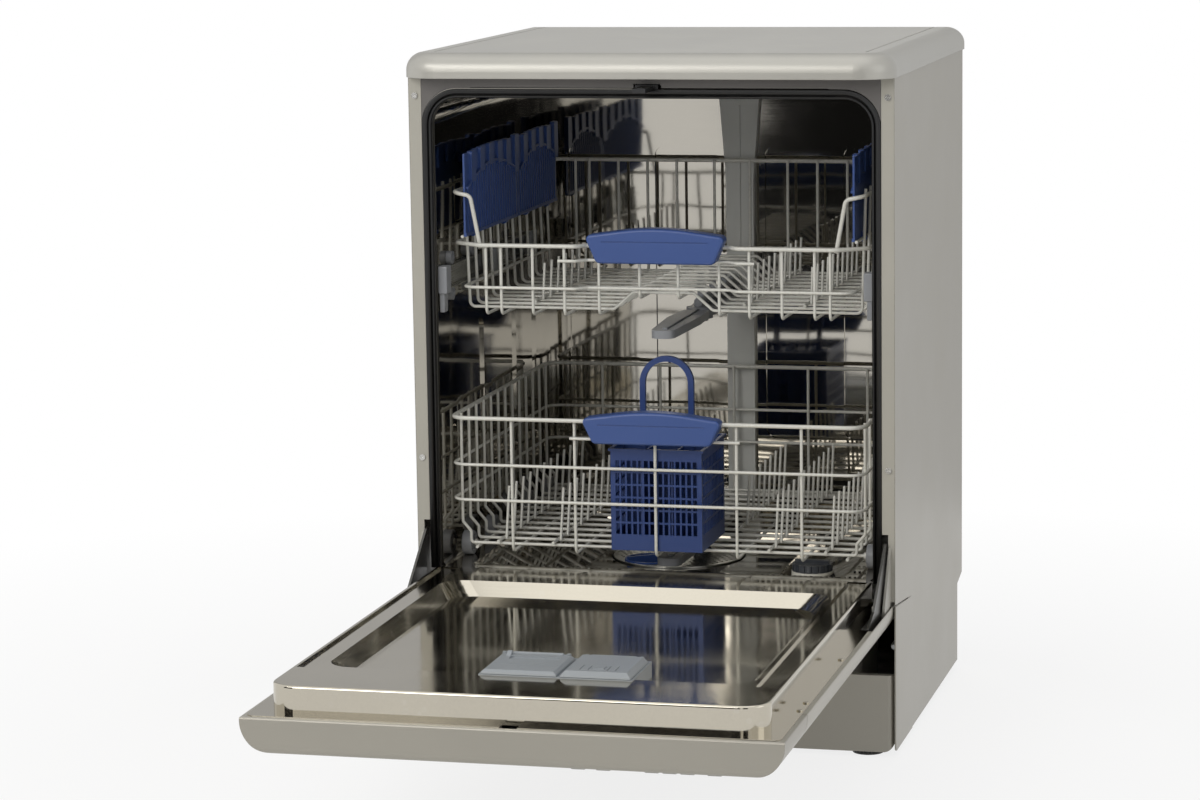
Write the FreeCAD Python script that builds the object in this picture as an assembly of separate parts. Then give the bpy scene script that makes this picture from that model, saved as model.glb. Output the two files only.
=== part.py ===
# Dishwasher with a drop-down door, two pull-out wire baskets and a wash system under the tub.
# Units are millimetres. While modelling, X runs to the right, Y runs from the front uprights to the rear,
# Z runs up from the floor. The door is modelled open flat and both baskets are modelled pushed in.
# Every piece is moved along Y when it is written, so that the origin is in the middle of the whole.
import FreeCAD, Part
import os
from math import atan2, cos, degrees, hypot, pi, radians, sin, sqrt, tan
from FreeCAD import Vector

os.makedirs("parts", exist_ok=True)

# ---- cabinet -----------------------------------------------------------------------------------
CABINET_WIDTH = 596.0          # over the side panels
CABINET_DEPTH = 540.0          # front uprights to rear edge
TOTAL_HEIGHT = 850.0
SHEET = 1.0                    # painted and stainless sheet
PANEL_LIFT = 8.0               # side panels end this far above the floor
PANEL_TOE = 6.0                # rounded lower front corner
REAR_STEP_HEIGHT = 120.0       # the rear edge steps forward below this height
REAR_STEP_DEPTH = 40.0
REAR_STEP_SLOPE = 8.0
CORNER_RELIEF_DEPTH = 122.0    # pushed-out lower front corner of the side panels
CORNER_RELIEF_TOP = 181.0
CORNER_RELIEF_OUT = 0.8
CORNER_SLIT_LENGTH = 95.0
CORNER_SLIT = 1.2

WORKTOP_THICKNESS = 30.0
WORKTOP_OVERHANG = 2.0         # on each side
WORKTOP_FRONT = 38.0           # overhang in front of the uprights
WORKTOP_REAR = 6.0             # overhang behind the side panels
WORKTOP_CORNER = 45.0
WORKTOP_NOSE = 22.0
WORKTOP_GROOVE_INSET = 36.0
WORKTOP_GROOVE = 2.0
WORKTOP_GROOVE_DEPTH = 1.2

UPRIGHT_WIDTH = 15.0
UPRIGHT_DEPTH = 22.0
UPRIGHT_BOTTOM = 192.0
UPRIGHT_SCREW_LOW = 352.0
UPRIGHT_SCREW_DROP = 23.0      # upper screw below the worktop
HINGE_SLOT_TOP = 274.0
HINGE_SLOT_WIDTH = 7.5

PLINTH_TOP = 101.0
PLINTH_BOTTOM = 6.0
PLINTH_THICKNESS = 2.0
PLINTH_CORNER = 14.0           # lower corners
PLINTH_EDGE = 9.0              # rounded upright edges beside the side panels
PLINTH_SIDE_GAP = 0.8
PLINTH_SETBACK = 1.5

FOOT_RADIUS = 19.0
FOOT_HEIGHT = 9.0
FOOT_SCREW_RADIUS = 5.0
FOOT_SCREW_LENGTH = 46.0
FOOT_TRAVEL = 20.0
FOOT_INSET_X = 38.0
FOOT_FRONT_Y = 27.0

# ---- tub ---------------------------------------------------------------------------------------
SILL_Z = 218.0                 # door liner border when open
LANE_DROP = 3.0                # wheel lanes lie this far below the border
TUB_TO_UPRIGHT = 12.0          # tub wall inside the upright
TUB_TO_REAR = 35.0             # tub rear wall in front of the cabinet's rear edge
TRIM_HEIGHT = 13.0
TUB_TOP_CORNER = 36.0
TUB_FLOOR_CORNER = 6.0
GASKET_WIDTH = 7.0             # ends flush with the tub wall, so the rails pass
GASKET_GROOVE_FROM = 2.4
GASKET_GROOVE_TO = 4.6
GASKET_DEPTH = 12.0
GASKET_CORNER = 40.0
GASKET_PROUD = 0.4
DISH_FRONT = 26.0
DISH_FLOOR_HALF = 125.0
DISH_FLOOR_FRONT = 145.0
DISH_FLOOR_REAR = 420.0
DISH_DEPTH = 27.0
EMBOSS = 3.0

# ---- wash system -------------------------------------------------------------------------------
SUMP_X = -25.0
SUMP_Y = 250.0
SUMP_HOLE_RADIUS = 86.0
FILTER_PLATE_RADIUS = 94.0
FILTER_CUP_X = -58.0
FILTER_CUP_Y = 212.0
FILTER_CUP_RADIUS = 36.0
HUB_Y = 275.0
HUB_RADIUS = 13.0
LOWER_ARM_Z = 209.0
LOWER_ARM_REACH = 195.0
ARM_THICKNESS = 10.0
ARM_WIDTH = 44.0
UPPER_ARM_REACH = 212.0
FEED_PIPE_RADIUS = 5.6
DUCT_X = 7.0
DUCT_DEPTH = 10.0
DUCT_WIDE = 27.0
DUCT_NARROW = 18.5
SOFTENER_Y = 90.0
SALT_CAP_RADIUS = 30.0
VALVE_NECK_RADIUS = 12.5
INLET_RADIUS = 13.2            # threaded end of the water inlet
INLET_LENGTH = 13.0

# ---- door --------------------------------------------------------------------------------------
DOOR_PANEL_THICKNESS = 40.0
DOOR_SIDE_ROUND = 36.0
DOOR_BOTTOM = 110.0            # lower end when shut, above the plinth
DOOR_TOP_GAP = 4.0             # under the worktop when shut
SEAL_GAP = 1.0                 # liner border to the upright plane when shut
LINER_RISE = 31.0
LINER_SHUT_BOTTOM = 157.0      # lower end of the raised liner when shut
LINER_CORNER = 30.0
HINGE_OUT = 36.0               # hinge axis in front of the uprights
HINGE_PIN_RADIUS = 4.0
HINGE_PLATE = 3.0
FASCIA_LENGTH = 122.0
FASCIA_SEAM = 1.5
DOOR_DISH_REAR = 86.0
DOOR_DISH_DEPTH = 16.0
DOOR_DISH_SLOPE = 16.0
LANE_INNER = 27.0              # lane edges, from the tub wall
LANE_OUTER = 3.5
DISPENSER_WIDTH = 170.0
DISPENSER_DEPTH = 92.0
DISPENSER_X = 24.0
DISPENSER_RISE = 7.0
BUTTON_WIDTH = 16.0
BUTTON_DEPTH = 10.0
BUTTON_PROUD = 3.0
BUTTON_TRAVEL = 2.0
BUTTON_CENTRES = (72.0, 99.0, 151.0, 170.0, 189.0, 218.0)
BUTTON_NAMES = ("power", "half_load", "delay", "extra_dry", "options", "start")
BUTTON_FROM_END = 20.0

# ---- baskets -----------------------------------------------------------------------------------
RIM_WIRE = 2.6                 # wire radii
WIRE = 1.9
TINE = 1.7
LOWER_TRAVEL = 479.0
LOWER_FRONT = 13.0
LOWER_RIM_Z = 400.0
LOWER_RING_Z = (342.0, 298.0)
LOWER_FLOOR_Z = 240.0
LOWER_LENGTH_WIRES = (0.0, 101.0, 181.0)
WHEEL_RADIUS = 15.0
WHEEL_WIDTH = 13.0
WHEEL_ROWS = (84.0, 189.0, 367.0, 473.0)
AXLE_RADIUS = 2.0
RUNNING_CLEARANCE = 0.3
UPPER_TRAVEL = 268.0
UPPER_FRONT = 30.0
UPPER_SET_BACK = 14.0          # middle of the front rim, behind the handle
HANDLE_WIDTH = 176.0
HANDLE_HEIGHT = 40.0
HANDLE_THICKNESS = 15.0
SHELF_HEIGHT = 106.0
SHELF_SPANS = ((10.0, 250.0), (254.0, 447.0))   # start and end behind the front rim
SHELF_FLUTE = 3.6
RAIL_FRONT = 19.0
RAIL_DEPTH = 28.0
RAIL_LENGTH = 410.0
WALL_ROLLER_RADIUS = 8.0
WALL_ROLLER_ROWS = (56.0, 150.0)
BASKET_ROLLER_ROWS = (215.0, 392.0)
CUTLERY_HALF = 57.0
CUTLERY_DEPTH = 130.0
CUTLERY_HEIGHT = 126.0
LOOP_HALF = 34.0
LOOP_TOP = 472.0

# ---- values that follow from the ones above ------------------------------------------------------
SIDE_OUTER = CABINET_WIDTH / 2
SIDE_INNER = SIDE_OUTER - SHEET
WORKTOP_WIDTH = CABINET_WIDTH + 2 * WORKTOP_OVERHANG
WORKTOP_Z = TOTAL_HEIGHT - WORKTOP_THICKNESS
UPRIGHT_INNER = SIDE_INNER - UPRIGHT_WIDTH
UPRIGHT_SCREW_HEIGHTS = (UPRIGHT_SCREW_LOW, WORKTOP_Z - UPRIGHT_SCREW_DROP)
FOOT_REAR_Y = CABINET_DEPTH - 78.0
TUB_HALF = UPRIGHT_INNER - TUB_TO_UPRIGHT
TUB_REAR = CABINET_DEPTH - TUB_TO_REAR
GASKET_HALF = TUB_HALF + GASKET_WIDTH
GASKET_TOP = WORKTOP_Z - TRIM_HEIGHT - 6.0
TUB_TOP = GASKET_TOP - 5.0
DISH_HALF = TUB_HALF - 34.0
DISH_REAR = TUB_REAR - 13.0
SOFTENER_X = TUB_HALF - 90.0
LANE_Z = SILL_Z - LANE_DROP
HINGE_Y = -HINGE_OUT
HINGE_Z = SILL_Z - HINGE_OUT + SEAL_GAP
PANEL_Z = SILL_Z - LINER_RISE
PANEL_BOTTOM_Z = PANEL_Z - DOOR_PANEL_THICKNESS
DOOR_SHUT_TOP = WORKTOP_Z - DOOR_TOP_GAP
DOOR_END = HINGE_Y + HINGE_Z - DOOR_SHUT_TOP
DOOR_TAIL = HINGE_Y + HINGE_Z - DOOR_BOTTOM
DOOR_HALF = SIDE_OUTER - 2.5
LINER_HALF = TUB_HALF + 2.0
LINER_FLANGE_HALF = DOOR_HALF - 5.5
LINER_FRONT = -DOOR_END - 21.0    # front wall of the raised liner, from the uprights
DOOR_DISH_HALF = LINER_HALF - 34.0
DOOR_DISH_FRONT = LINER_FRONT - 95.0
DISPENSER_FRONT = LINER_FRONT - 86.0
FASCIA_START = DOOR_END + FASCIA_LENGTH
LINER_BACK = HINGE_Y + HINGE_Z - LINER_SHUT_BOTTOM
REAR_END = CABINET_DEPTH + WORKTOP_REAR
MIDDLE_Y = (DOOR_END + REAR_END) / 2
SLOT_INNER = UPRIGHT_INNER + 2.5
HINGE_ARM_INNER = SLOT_INNER + 0.5
HINGE_ARM_OUTER = HINGE_ARM_INNER + HINGE_PLATE
AXLE_Z = LANE_Z + RUNNING_CLEARANCE + WHEEL_RADIUS
TUB_FLOOR_Z = LANE_Z - DISH_DEPTH
LOWER_HALF = TUB_HALF - 12.0
LOWER_REAR = TUB_REAR - 21.0
WHEEL_OUTER = TUB_HALF - 7.0
UPPER_HALF = TUB_HALF - 13.0
UPPER_SIDE_RIM_HALF = UPPER_HALF - 2.0
UPPER_REAR = TUB_REAR - 21.0
UPPER_RIM_Z = TUB_TOP - 184.0
UPPER_SIDE_RIM_Z = UPPER_RIM_Z + 64.0
UPPER_RING_Z = UPPER_RIM_Z - 52.0
UPPER_FLOOR_Z = UPPER_RIM_Z - 85.0
UPPER_ARM_Z = UPPER_FLOOR_Z - 31.0
SHELF_HINGE_Z = UPPER_RIM_Z + 9.0
RAIL_LOW = UPPER_RIM_Z - 55.0
RAIL_HIGH = RAIL_LOW + RAIL_DEPTH
RAIL_IN = TUB_HALF - 9.0
RAIL_OUT = TUB_HALF - 1.2


# ---- helpers -----------------------------------------------------------------------------------
def write(name, pieces):
    """Write one node, moved so that the origin lies in the middle of the whole."""
    pieces = pieces if isinstance(pieces, list) else [pieces]
    shape = pieces[0] if len(pieces) == 1 else Part.makeCompound(pieces)
    shape = shape.copy()
    shape.translate(Vector(0, -MIDDLE_Y, 0))
    shape.exportStep("parts/" + name + ".step")


def box(x0, x1, y0, y1, z0, z1):
    return Part.makeBox(x1 - x0, y1 - y0, z1 - z0, Vector(x0, y0, z0))


def rod(start, end, radius):
    start = Vector(*start)
    along = Vector(*end) - start
    return Part.makeCylinder(radius, along.Length, start, along)


def mirrored(shape):
    """The same piece on the other side of the middle plane."""
    return shape.mirror(Vector(0, 0, 0), Vector(1, 0, 0))


def outline(corners, place):
    """Face through corners (a, b, radius); place turns (a, b) into a point in space."""
    count = len(corners)
    starts = []
    middles = []
    ends = []
    for index, (a, b, radius) in enumerate(corners):
        here = Vector(a, b, 0)
        before = Vector(corners[index - 1][0], corners[index - 1][1], 0) - here
        after = Vector(corners[(index + 1) % count][0], corners[(index + 1) % count][1], 0) - here
        before.normalize()
        after.normalize()
        half = before.getAngle(after) / 2
        reach = radius / tan(half) if radius else 0.0
        starts.append(here + before * reach)
        ends.append(here + after * reach)
        toward = before + after
        if toward.Length > 1e-9:
            toward.normalize()
        middles.append(here + toward * (radius / sin(half) - radius if radius else 0.0))
    edges = []
    for index in range(count):
        if corners[index][2]:
            points = [place(p.x, p.y) for p in (starts[index], middles[index], ends[index])]
            edges.append(Part.Arc(*points).toShape())
        following = starts[(index + 1) % count]
        if (ends[index] - following).Length > 1e-6:
            edges.append(Part.makeLine(place(ends[index].x, ends[index].y), place(following.x, following.y)))
    return Part.Face(Part.Wire(edges))


def slab_y(corners, y0, y1):
    """Outline in the X-Z plane pushed from y0 to y1."""
    return outline(corners, lambda a, b: Vector(a, y0, b)).extrude(Vector(0, y1 - y0, 0))


def slab_x(corners, x0, x1):
    """Outline in the Y-Z plane pushed from x0 to x1."""
    return outline(corners, lambda a, b: Vector(x0, a, b)).extrude(Vector(x1 - x0, 0, 0))


def slab_z(corners, z0, z1):
    """Outline in the X-Y plane pushed from z0 to z1."""
    return outline(corners, lambda a, b: Vector(a, b, z0)).extrude(Vector(0, 0, z1 - z0))


def arch(half, bottom, top, corner, foot=0.0):
    """Corners of a symmetric upright shape with rounded top corners."""
    return [(-half, bottom, foot), (half, bottom, foot), (half, top, corner), (-half, top, corner)]


def frustum(half0, front0, rear0, z0, half1, front1, rear1, z1):
    """Solid between two rectangles at two heights."""
    wires = []
    for half, front, rear, z in ((half0, front0, rear0, z0), (half1, front1, rear1, z1)):
        points = [(-half, front), (half, front), (half, rear), (-half, rear), (-half, front)]
        wires.append(Part.makePolygon([Vector(x, y, z) for x, y in points]))
    return Part.makeLoft(wires, True, True)


def bent_wire(points, radius, bend):
    """Round wire through points; bend is one radius for every inner corner or a list of them."""
    points = [Vector(*p) for p in points]
    bends = bend if isinstance(bend, list) else [bend] * (len(points) - 2)
    edges = []
    cursor = points[0]
    for index in range(1, len(points) - 1):
        here = points[index]
        turn = bends[index - 1]
        before = (points[index - 1] - here).normalize()
        after = (points[index + 1] - here).normalize()
        half = before.getAngle(after) / 2
        start = here + before * (turn / tan(half))
        end = here + after * (turn / tan(half))
        middle = here + (before + after).normalize() * (turn / sin(half) - turn)
        edges.append(Part.makeLine(cursor, start))
        edges.append(Part.Arc(start, middle, end).toShape())
        cursor = end
    edges.append(Part.makeLine(cursor, points[-1]))
    path = Part.Wire(edges)
    section = Part.Wire(Part.makeCircle(radius, points[0], points[1] - points[0]))
    return path.makePipeShell([section], True, False)


def wire_run(points, radius, bends):
    """The same run in straight and curved lengths that meet face to face."""
    points = [Vector(*p) for p in points]
    bends = bends if isinstance(bends, list) else [bends] * (len(points) - 2)
    pieces = []
    cursor = points[0]
    for index in range(1, len(points) - 1):
        here = points[index]
        turn = bends[index - 1]
        before = (points[index - 1] - here).normalize()
        after = (points[index + 1] - here).normalize()
        half = before.getAngle(after) / 2
        start = here + before * (turn / tan(half))
        end = here + after * (turn / tan(half))
        middle = here + (before + after).normalize() * (turn / sin(half) - turn)
        if (start - cursor).Length > 0.01:
            pieces.append(rod(tuple(cursor), tuple(start), radius))
        arc = Part.Wire([Part.Arc(start, middle, end).toShape()])
        section = Part.Wire(Part.makeCircle(radius, start, before))
        pieces.append(arc.makePipeShell([section], True, False))
        cursor = end
    pieces.append(rod(tuple(cursor), tuple(points[-1]), radius))
    return pieces


def ring(half, front, rear, z, radius, bend):
    """Closed horizontal wire ring in straight lengths and corners that meet face to face."""
    inset = bend + 2.0
    pieces = []
    for y, step in ((front, inset), (rear, -inset)):
        ends = [(-half, y + step, z), (-half, y, z), (half, y, z), (half, y + step, z)]
        pieces += wire_run(ends, radius, bend)
    for x in (-half, half):
        pieces.append(rod((x, front + inset, z), (x, rear - inset, z), radius))
    return pieces


def parted(shape, regions):
    """The shape in lengths that meet face to face: one for each region, then whatever is left."""
    pieces = []
    rest = shape.Solids
    for region in regions:
        outside = []
        for solid in rest:
            if not solid.BoundBox.intersect(region.BoundBox):
                outside.append(solid)
                continue
            inside = solid.common(region)
            pieces += inside.Solids
            if inside.Volume < 0.001:
                outside.append(solid)
            elif solid.Volume - inside.Volume > 0.001:
                outside += solid.cut(region).Solids
        rest = outside
    return pieces + rest


def both_sides(region):
    return [region, mirrored(region)]


def prism_up(corners, z0, z1):
    """Upright prism over corners (x, y)."""
    return slab_z([(x, y, 0) for x, y in corners], z0, z1)


def sectors(x, y, first, count, reach, z0, z1):
    """Upright wedges around an axis, starting at an angle in degrees."""
    step = 2 * pi / count
    wedges = []
    for index in range(count):
        angles = [radians(first) + index * step, radians(first) + (index + 1) * step]
        corners = [(x, y)] + [(x + reach * cos(a), y + reach * sin(a)) for a in angles]
        wedges.append(prism_up(corners, z0, z1))
    return wedges


def screw(x, y, z, direction, head_radius, head_height, shank_radius, shank_length):
    """Pan-head screw; direction is the way its head faces."""
    facing = Vector(*direction)
    seat = Vector(x, y, z)
    head = Part.makeCylinder(head_radius, head_height, seat, facing)
    shank = Part.makeCylinder(shank_radius, shank_length, seat, facing * -1)
    slot = Part.makeBox(head_radius * 1.4, head_radius * 0.3, head_height * 2)
    slot.translate(Vector(-head_radius * 0.7, -head_radius * 0.15, 0))
    slot.Placement = FreeCAD.Placement(seat + facing * (head_height * 0.55), FreeCAD.Rotation(
        Vector(0, 0, 1), facing)).multiply(slot.Placement)
    return head.fuse(shank).cut(slot)


# ---- worktop -----------------------------------------------------------------------------------
half = WORKTOP_WIDTH / 2
plan = [(-half, -WORKTOP_FRONT, WORKTOP_CORNER), (half, -WORKTOP_FRONT, WORKTOP_CORNER)]
plan += [(half, REAR_END, 3.0), (-half, REAR_END, 3.0)]
worktop = slab_z(plan, WORKTOP_Z, TOTAL_HEIGHT)
nose_edges = []
for edge in worktop.Edges:
    bounds = edge.BoundBox
    if bounds.ZMin > TOTAL_HEIGHT - 1e-3 and bounds.YMin < REAR_END - 4.0:
        nose_edges.append(edge)
worktop = worktop.makeFillet(WORKTOP_NOSE, nose_edges)
for side in (-1, 1):
    middle = side * (half - WORKTOP_GROOVE_INSET)
    groove = box(middle - WORKTOP_GROOVE / 2, middle + WORKTOP_GROOVE / 2, 0.0, REAR_END + 1.0,
                 TOTAL_HEIGHT - WORKTOP_GROOVE_DEPTH, TOTAL_HEIGHT + 1.0)
    worktop = worktop.cut(groove)
write("worktop", worktop)

# ---- side and rear panels ------------------------------------------------------------------------
step_y = CABINET_DEPTH - REAR_STEP_DEPTH
side_face = [(0.0, PANEL_LIFT, PANEL_TOE), (step_y, PANEL_LIFT, 0), (step_y, REAR_STEP_HEIGHT - REAR_STEP_SLOPE, 2.0)]
side_face += [(CABINET_DEPTH, REAR_STEP_HEIGHT, 2.0), (CABINET_DEPTH, WORKTOP_Z, 0), (0.0, WORKTOP_Z, 0)]
panel = slab_x(side_face, SIDE_INNER, SIDE_OUTER)
turned_in = box(SIDE_INNER - 14.0, SIDE_OUTER - 0.5, CABINET_DEPTH - SHEET, CABINET_DEPTH,
                REAR_STEP_HEIGHT + 6.0, WORKTOP_Z)
relief = [(0.0, PANEL_LIFT, PANEL_TOE), (CORNER_RELIEF_DEPTH, PANEL_LIFT, 0)]
relief += [(CORNER_RELIEF_DEPTH, CORNER_RELIEF_TOP - 6.0, 8.0), (0.0, CORNER_RELIEF_TOP + 5.0, 0)]
pushed = slab_x(relief, SIDE_OUTER - 0.6, SIDE_OUTER + CORNER_RELIEF_OUT)
slit = slab_x([(-1.0, CORNER_RELIEF_TOP + 6.2, 0), (CORNER_SLIT_LENGTH, CORNER_RELIEF_TOP - 3.6, 0),
               (CORNER_SLIT_LENGTH, CORNER_RELIEF_TOP - 3.6 + CORNER_SLIT, 0),
               (-1.0, CORNER_RELIEF_TOP + 6.2 + CORNER_SLIT, 0)], SIDE_INNER - 1.0, SIDE_OUTER + 2.0)
panel = panel.fuse([turned_in, pushed]).cut(slit).removeSplitter()
write("side_panel_right", panel)
write("side_panel_left", mirrored(panel))

rear_half = SIDE_INNER - 15.0
rear = box(-rear_half, rear_half, CABINET_DEPTH - SHEET, CABINET_DEPTH, REAR_STEP_HEIGHT + 6.0, WORKTOP_Z - 1.0)
swage_pitch = (WORKTOP_Z - 220.0) / 2
for row in range(2):
    low = 190.0 + row * swage_pitch
    high = low + swage_pitch - 40.0
    swage = box(-rear_half + 40.0, rear_half - 40.0, CABINET_DEPTH - SHEET - 2.0, CABINET_DEPTH - SHEET, low, high)
    recess = box(-rear_half + 41.0, rear_half - 41.0, CABINET_DEPTH - SHEET - 1.0, CABINET_DEPTH + 1.0,
                 low + 1.0, high - 1.0)
    rear = rear.fuse(swage).cut(recess)
write("rear_panel", rear.removeSplitter())

# ---- front uprights with the hinge ears ----------------------------------------------------------
face = box(UPRIGHT_INNER, SIDE_INNER, 0.0, SHEET, UPRIGHT_BOTTOM, WORKTOP_Z)
outer_wall = box(SIDE_INNER - SHEET, SIDE_INNER, 0.0, UPRIGHT_DEPTH, UPRIGHT_BOTTOM, WORKTOP_Z)
inner_wall = box(UPRIGHT_INNER, UPRIGHT_INNER + SHEET, 0.0, UPRIGHT_DEPTH, UPRIGHT_BOTTOM, WORKTOP_Z)
slot = box(UPRIGHT_INNER - 1.0, UPRIGHT_INNER + HINGE_SLOT_WIDTH, -1.0, UPRIGHT_DEPTH + 1.0,
           UPRIGHT_BOTTOM - 1.0, HINGE_SLOT_TOP)
upright = face.fuse([outer_wall, inner_wall]).cut(slot)
ear_in = HINGE_ARM_OUTER + 1.8
ear_out = ear_in + HINGE_PLATE
ear_corners = [(HINGE_Y - 9.0, HINGE_Z - 9.0, 8.5), (HINGE_Y + 9.0, HINGE_Z - 9.0, 8.5)]
ear_corners += [(4.0, UPRIGHT_BOTTOM + 4.0, 2.0), (UPRIGHT_DEPTH - 2.0, UPRIGHT_BOTTOM + 4.0, 3.0)]
ear_corners += [(UPRIGHT_DEPTH - 2.0, UPRIGHT_BOTTOM + 70.0, 3.0), (2.0, UPRIGHT_BOTTOM + 70.0, 3.0)]
ear_corners += [(HINGE_Y - 9.0, HINGE_Z + 9.0, 8.5)]
ear = slab_x(ear_corners, ear_in, ear_out)
pin = rod((HINGE_ARM_INNER - 0.3, HINGE_Y, HINGE_Z), (ear_out, HINGE_Y, HINGE_Z), HINGE_PIN_RADIUS)
upright = upright.fuse([ear, pin])
screw_x = SIDE_OUTER - 8.0
for height in UPRIGHT_SCREW_HEIGHTS:
    upright = upright.cut(rod((screw_x, -1.0, height), (screw_x, 2.0, height), 2.3))
upright = upright.removeSplitter()
write("front_upright_right", upright)
write("front_upright_left", mirrored(upright))

# ---- trim under the worktop ----------------------------------------------------------------------
trim_bottom = GASKET_TOP + 6.0
trim_half = UPRIGHT_INNER - 0.3
trim = box(-trim_half, trim_half, 0.0, 9.0, trim_bottom, WORKTOP_Z)
corner_web = box(trim_half - 62.0, trim_half, 0.0, 6.0, trim_bottom - 38.0, trim_bottom + 0.5)
mouth = slab_y(arch(GASKET_HALF + 4.8, LANE_Z, GASKET_TOP + 5.3, GASKET_CORNER + 4.8), -1.0, 7.0)
corner_web = corner_web.cut(mouth)
trim = trim.fuse(both_sides(corner_web))
catch_pocket = box(-17.0, 17.0, -1.0, 10.0, trim_bottom - 1.0, trim_bottom + 5.0)
trim = trim.cut(catch_pocket).removeSplitter()
write("top_trim", trim)

strike_height = GASKET_TOP + 5.5
strike_end = HINGE_Y - 8.0
catch = box(-15.0, 13.0, -0.5, 11.0, GASKET_TOP + 1.5, trim_bottom + 4.0)
striker = box(-8.0, 8.0, strike_end, 0.5, strike_height - 2.6, strike_height + 2.6)
striker_window = box(-5.0, 5.0, strike_end + 2.6, strike_end + 10.0, strike_height - 4.0, strike_height + 4.0)
catch = catch.fuse(striker).cut(striker_window).removeSplitter()
write("door_catch", catch)

# ---- tub -------------------------------------------------------------------------------------------
wall = 1.2
gasket_back = GASKET_DEPTH + 0.5
outer_arch = arch(TUB_HALF + wall, TUB_FLOOR_Z - wall, TUB_TOP + wall, TUB_TOP_CORNER + wall, 6.0)
inner_arch = arch(TUB_HALF, LANE_Z, TUB_TOP, TUB_TOP_CORNER, TUB_FLOOR_CORNER)
shell = slab_y(outer_arch, gasket_back, TUB_REAR + wall)
cavity = slab_y(inner_arch, gasket_back - 1.0, TUB_REAR)
dish = frustum(DISH_HALF, DISH_FRONT, DISH_REAR, LANE_Z + 0.01,
               DISH_FLOOR_HALF, DISH_FLOOR_FRONT, DISH_FLOOR_REAR, TUB_FLOOR_Z)
underneath = frustum(DISH_HALF + 4.0, DISH_FRONT - 4.0, DISH_REAR + 4.0, LANE_Z - wall,
                     DISH_FLOOR_HALF + 3.0, DISH_FLOOR_FRONT - 3.0, DISH_FLOOR_REAR + 3.0, TUB_FLOOR_Z - wall)
below = box(-TUB_HALF - 9.0, TUB_HALF + 9.0, gasket_back - 9.0, TUB_REAR + 9.0, TUB_FLOOR_Z - 60.0, LANE_Z - wall)
tub = shell.cut(below.cut(underneath)).cut(cavity).cut(dish)
flange_outer = arch(GASKET_HALF + 4.5, LANE_Z - wall, GASKET_TOP + 5.0, GASKET_CORNER + 4.5)
flange_inner = arch(TUB_HALF - 0.5, LANE_Z, TUB_TOP - 0.5, TUB_TOP_CORNER - 0.5, TUB_FLOOR_CORNER)
flange = slab_y(flange_outer, gasket_back, gasket_back + wall).cut(slab_y(flange_inner, 0.0, 40.0))
lip_outer = arch(GASKET_HALF + 4.5, LANE_Z - wall, GASKET_TOP + 5.0, GASKET_CORNER + 4.5)
lip_inner = arch(GASKET_HALF + 0.2, LANE_Z - wall - 1.0, GASKET_TOP + 0.2, GASKET_CORNER)
lip = slab_y(lip_outer, 0.3, gasket_back + wall).cut(slab_y(lip_inner, -1.0, 40.0))
sill_half = GASKET_HALF - GASKET_WIDTH - 0.4
sill = box(-sill_half, sill_half, -GASKET_PROUD, gasket_back + wall, LANE_Z - wall, LANE_Z)
sill_lip = box(-sill_half, sill_half, -GASKET_PROUD, -GASKET_PROUD + wall, LANE_Z - 5.0, LANE_Z)
catch_gap = box(-15.3, 13.3, -1.0, 11.3, GASKET_TOP + 1.2, GASKET_TOP + 9.0)
tub = tub.fuse([flange, lip, sill, sill_lip]).cut(catch_gap)
tub = tub.cut(rod((SUMP_X, SUMP_Y, TUB_FLOOR_Z - 9.0), (SUMP_X, SUMP_Y, TUB_FLOOR_Z + 9.0), SUMP_HOLE_RADIUS))
tub = tub.cut(rod((SOFTENER_X, SOFTENER_Y, TUB_FLOOR_Z - 9.0), (SOFTENER_X, SOFTENER_Y, LANE_Z + 9.0),
                  SALT_CAP_RADIUS - 4.0))


def emboss_y(x0, x1, z0, z1, corner):
    """Shallow rectangular panel pressed outward in the rear wall: skin and the recess in it."""
    skin = slab_y([(x0, z0, corner), (x1, z0, corner), (x1, z1, corner), (x0, z1, corner)],
                  TUB_REAR, TUB_REAR + EMBOSS + wall)
    recess = slab_y([(x0 + wall, z0 + wall, corner - wall), (x1 - wall, z0 + wall, corner - wall),
                     (x1 - wall, z1 - wall, corner - wall), (x0 + wall, z1 - wall, corner - wall)],
                    TUB_REAR - 0.5, TUB_REAR + EMBOSS)
    return skin, recess


def emboss_x(y0, y1, z0, z1, corner):
    """The same in the right side wall."""
    skin = slab_x([(y0, z0, corner), (y1, z0, corner), (y1, z1, corner), (y0, z1, corner)],
                  TUB_HALF, TUB_HALF + EMBOSS + wall)
    recess = slab_x([(y0 + wall, z0 + wall, corner - wall), (y1 - wall, z0 + wall, corner - wall),
                     (y1 - wall, z1 - wall, corner - wall), (y0 + wall, z1 - wall, corner - wall)],
                    TUB_HALF - 0.5, TUB_HALF + EMBOSS)
    return skin, recess


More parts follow.
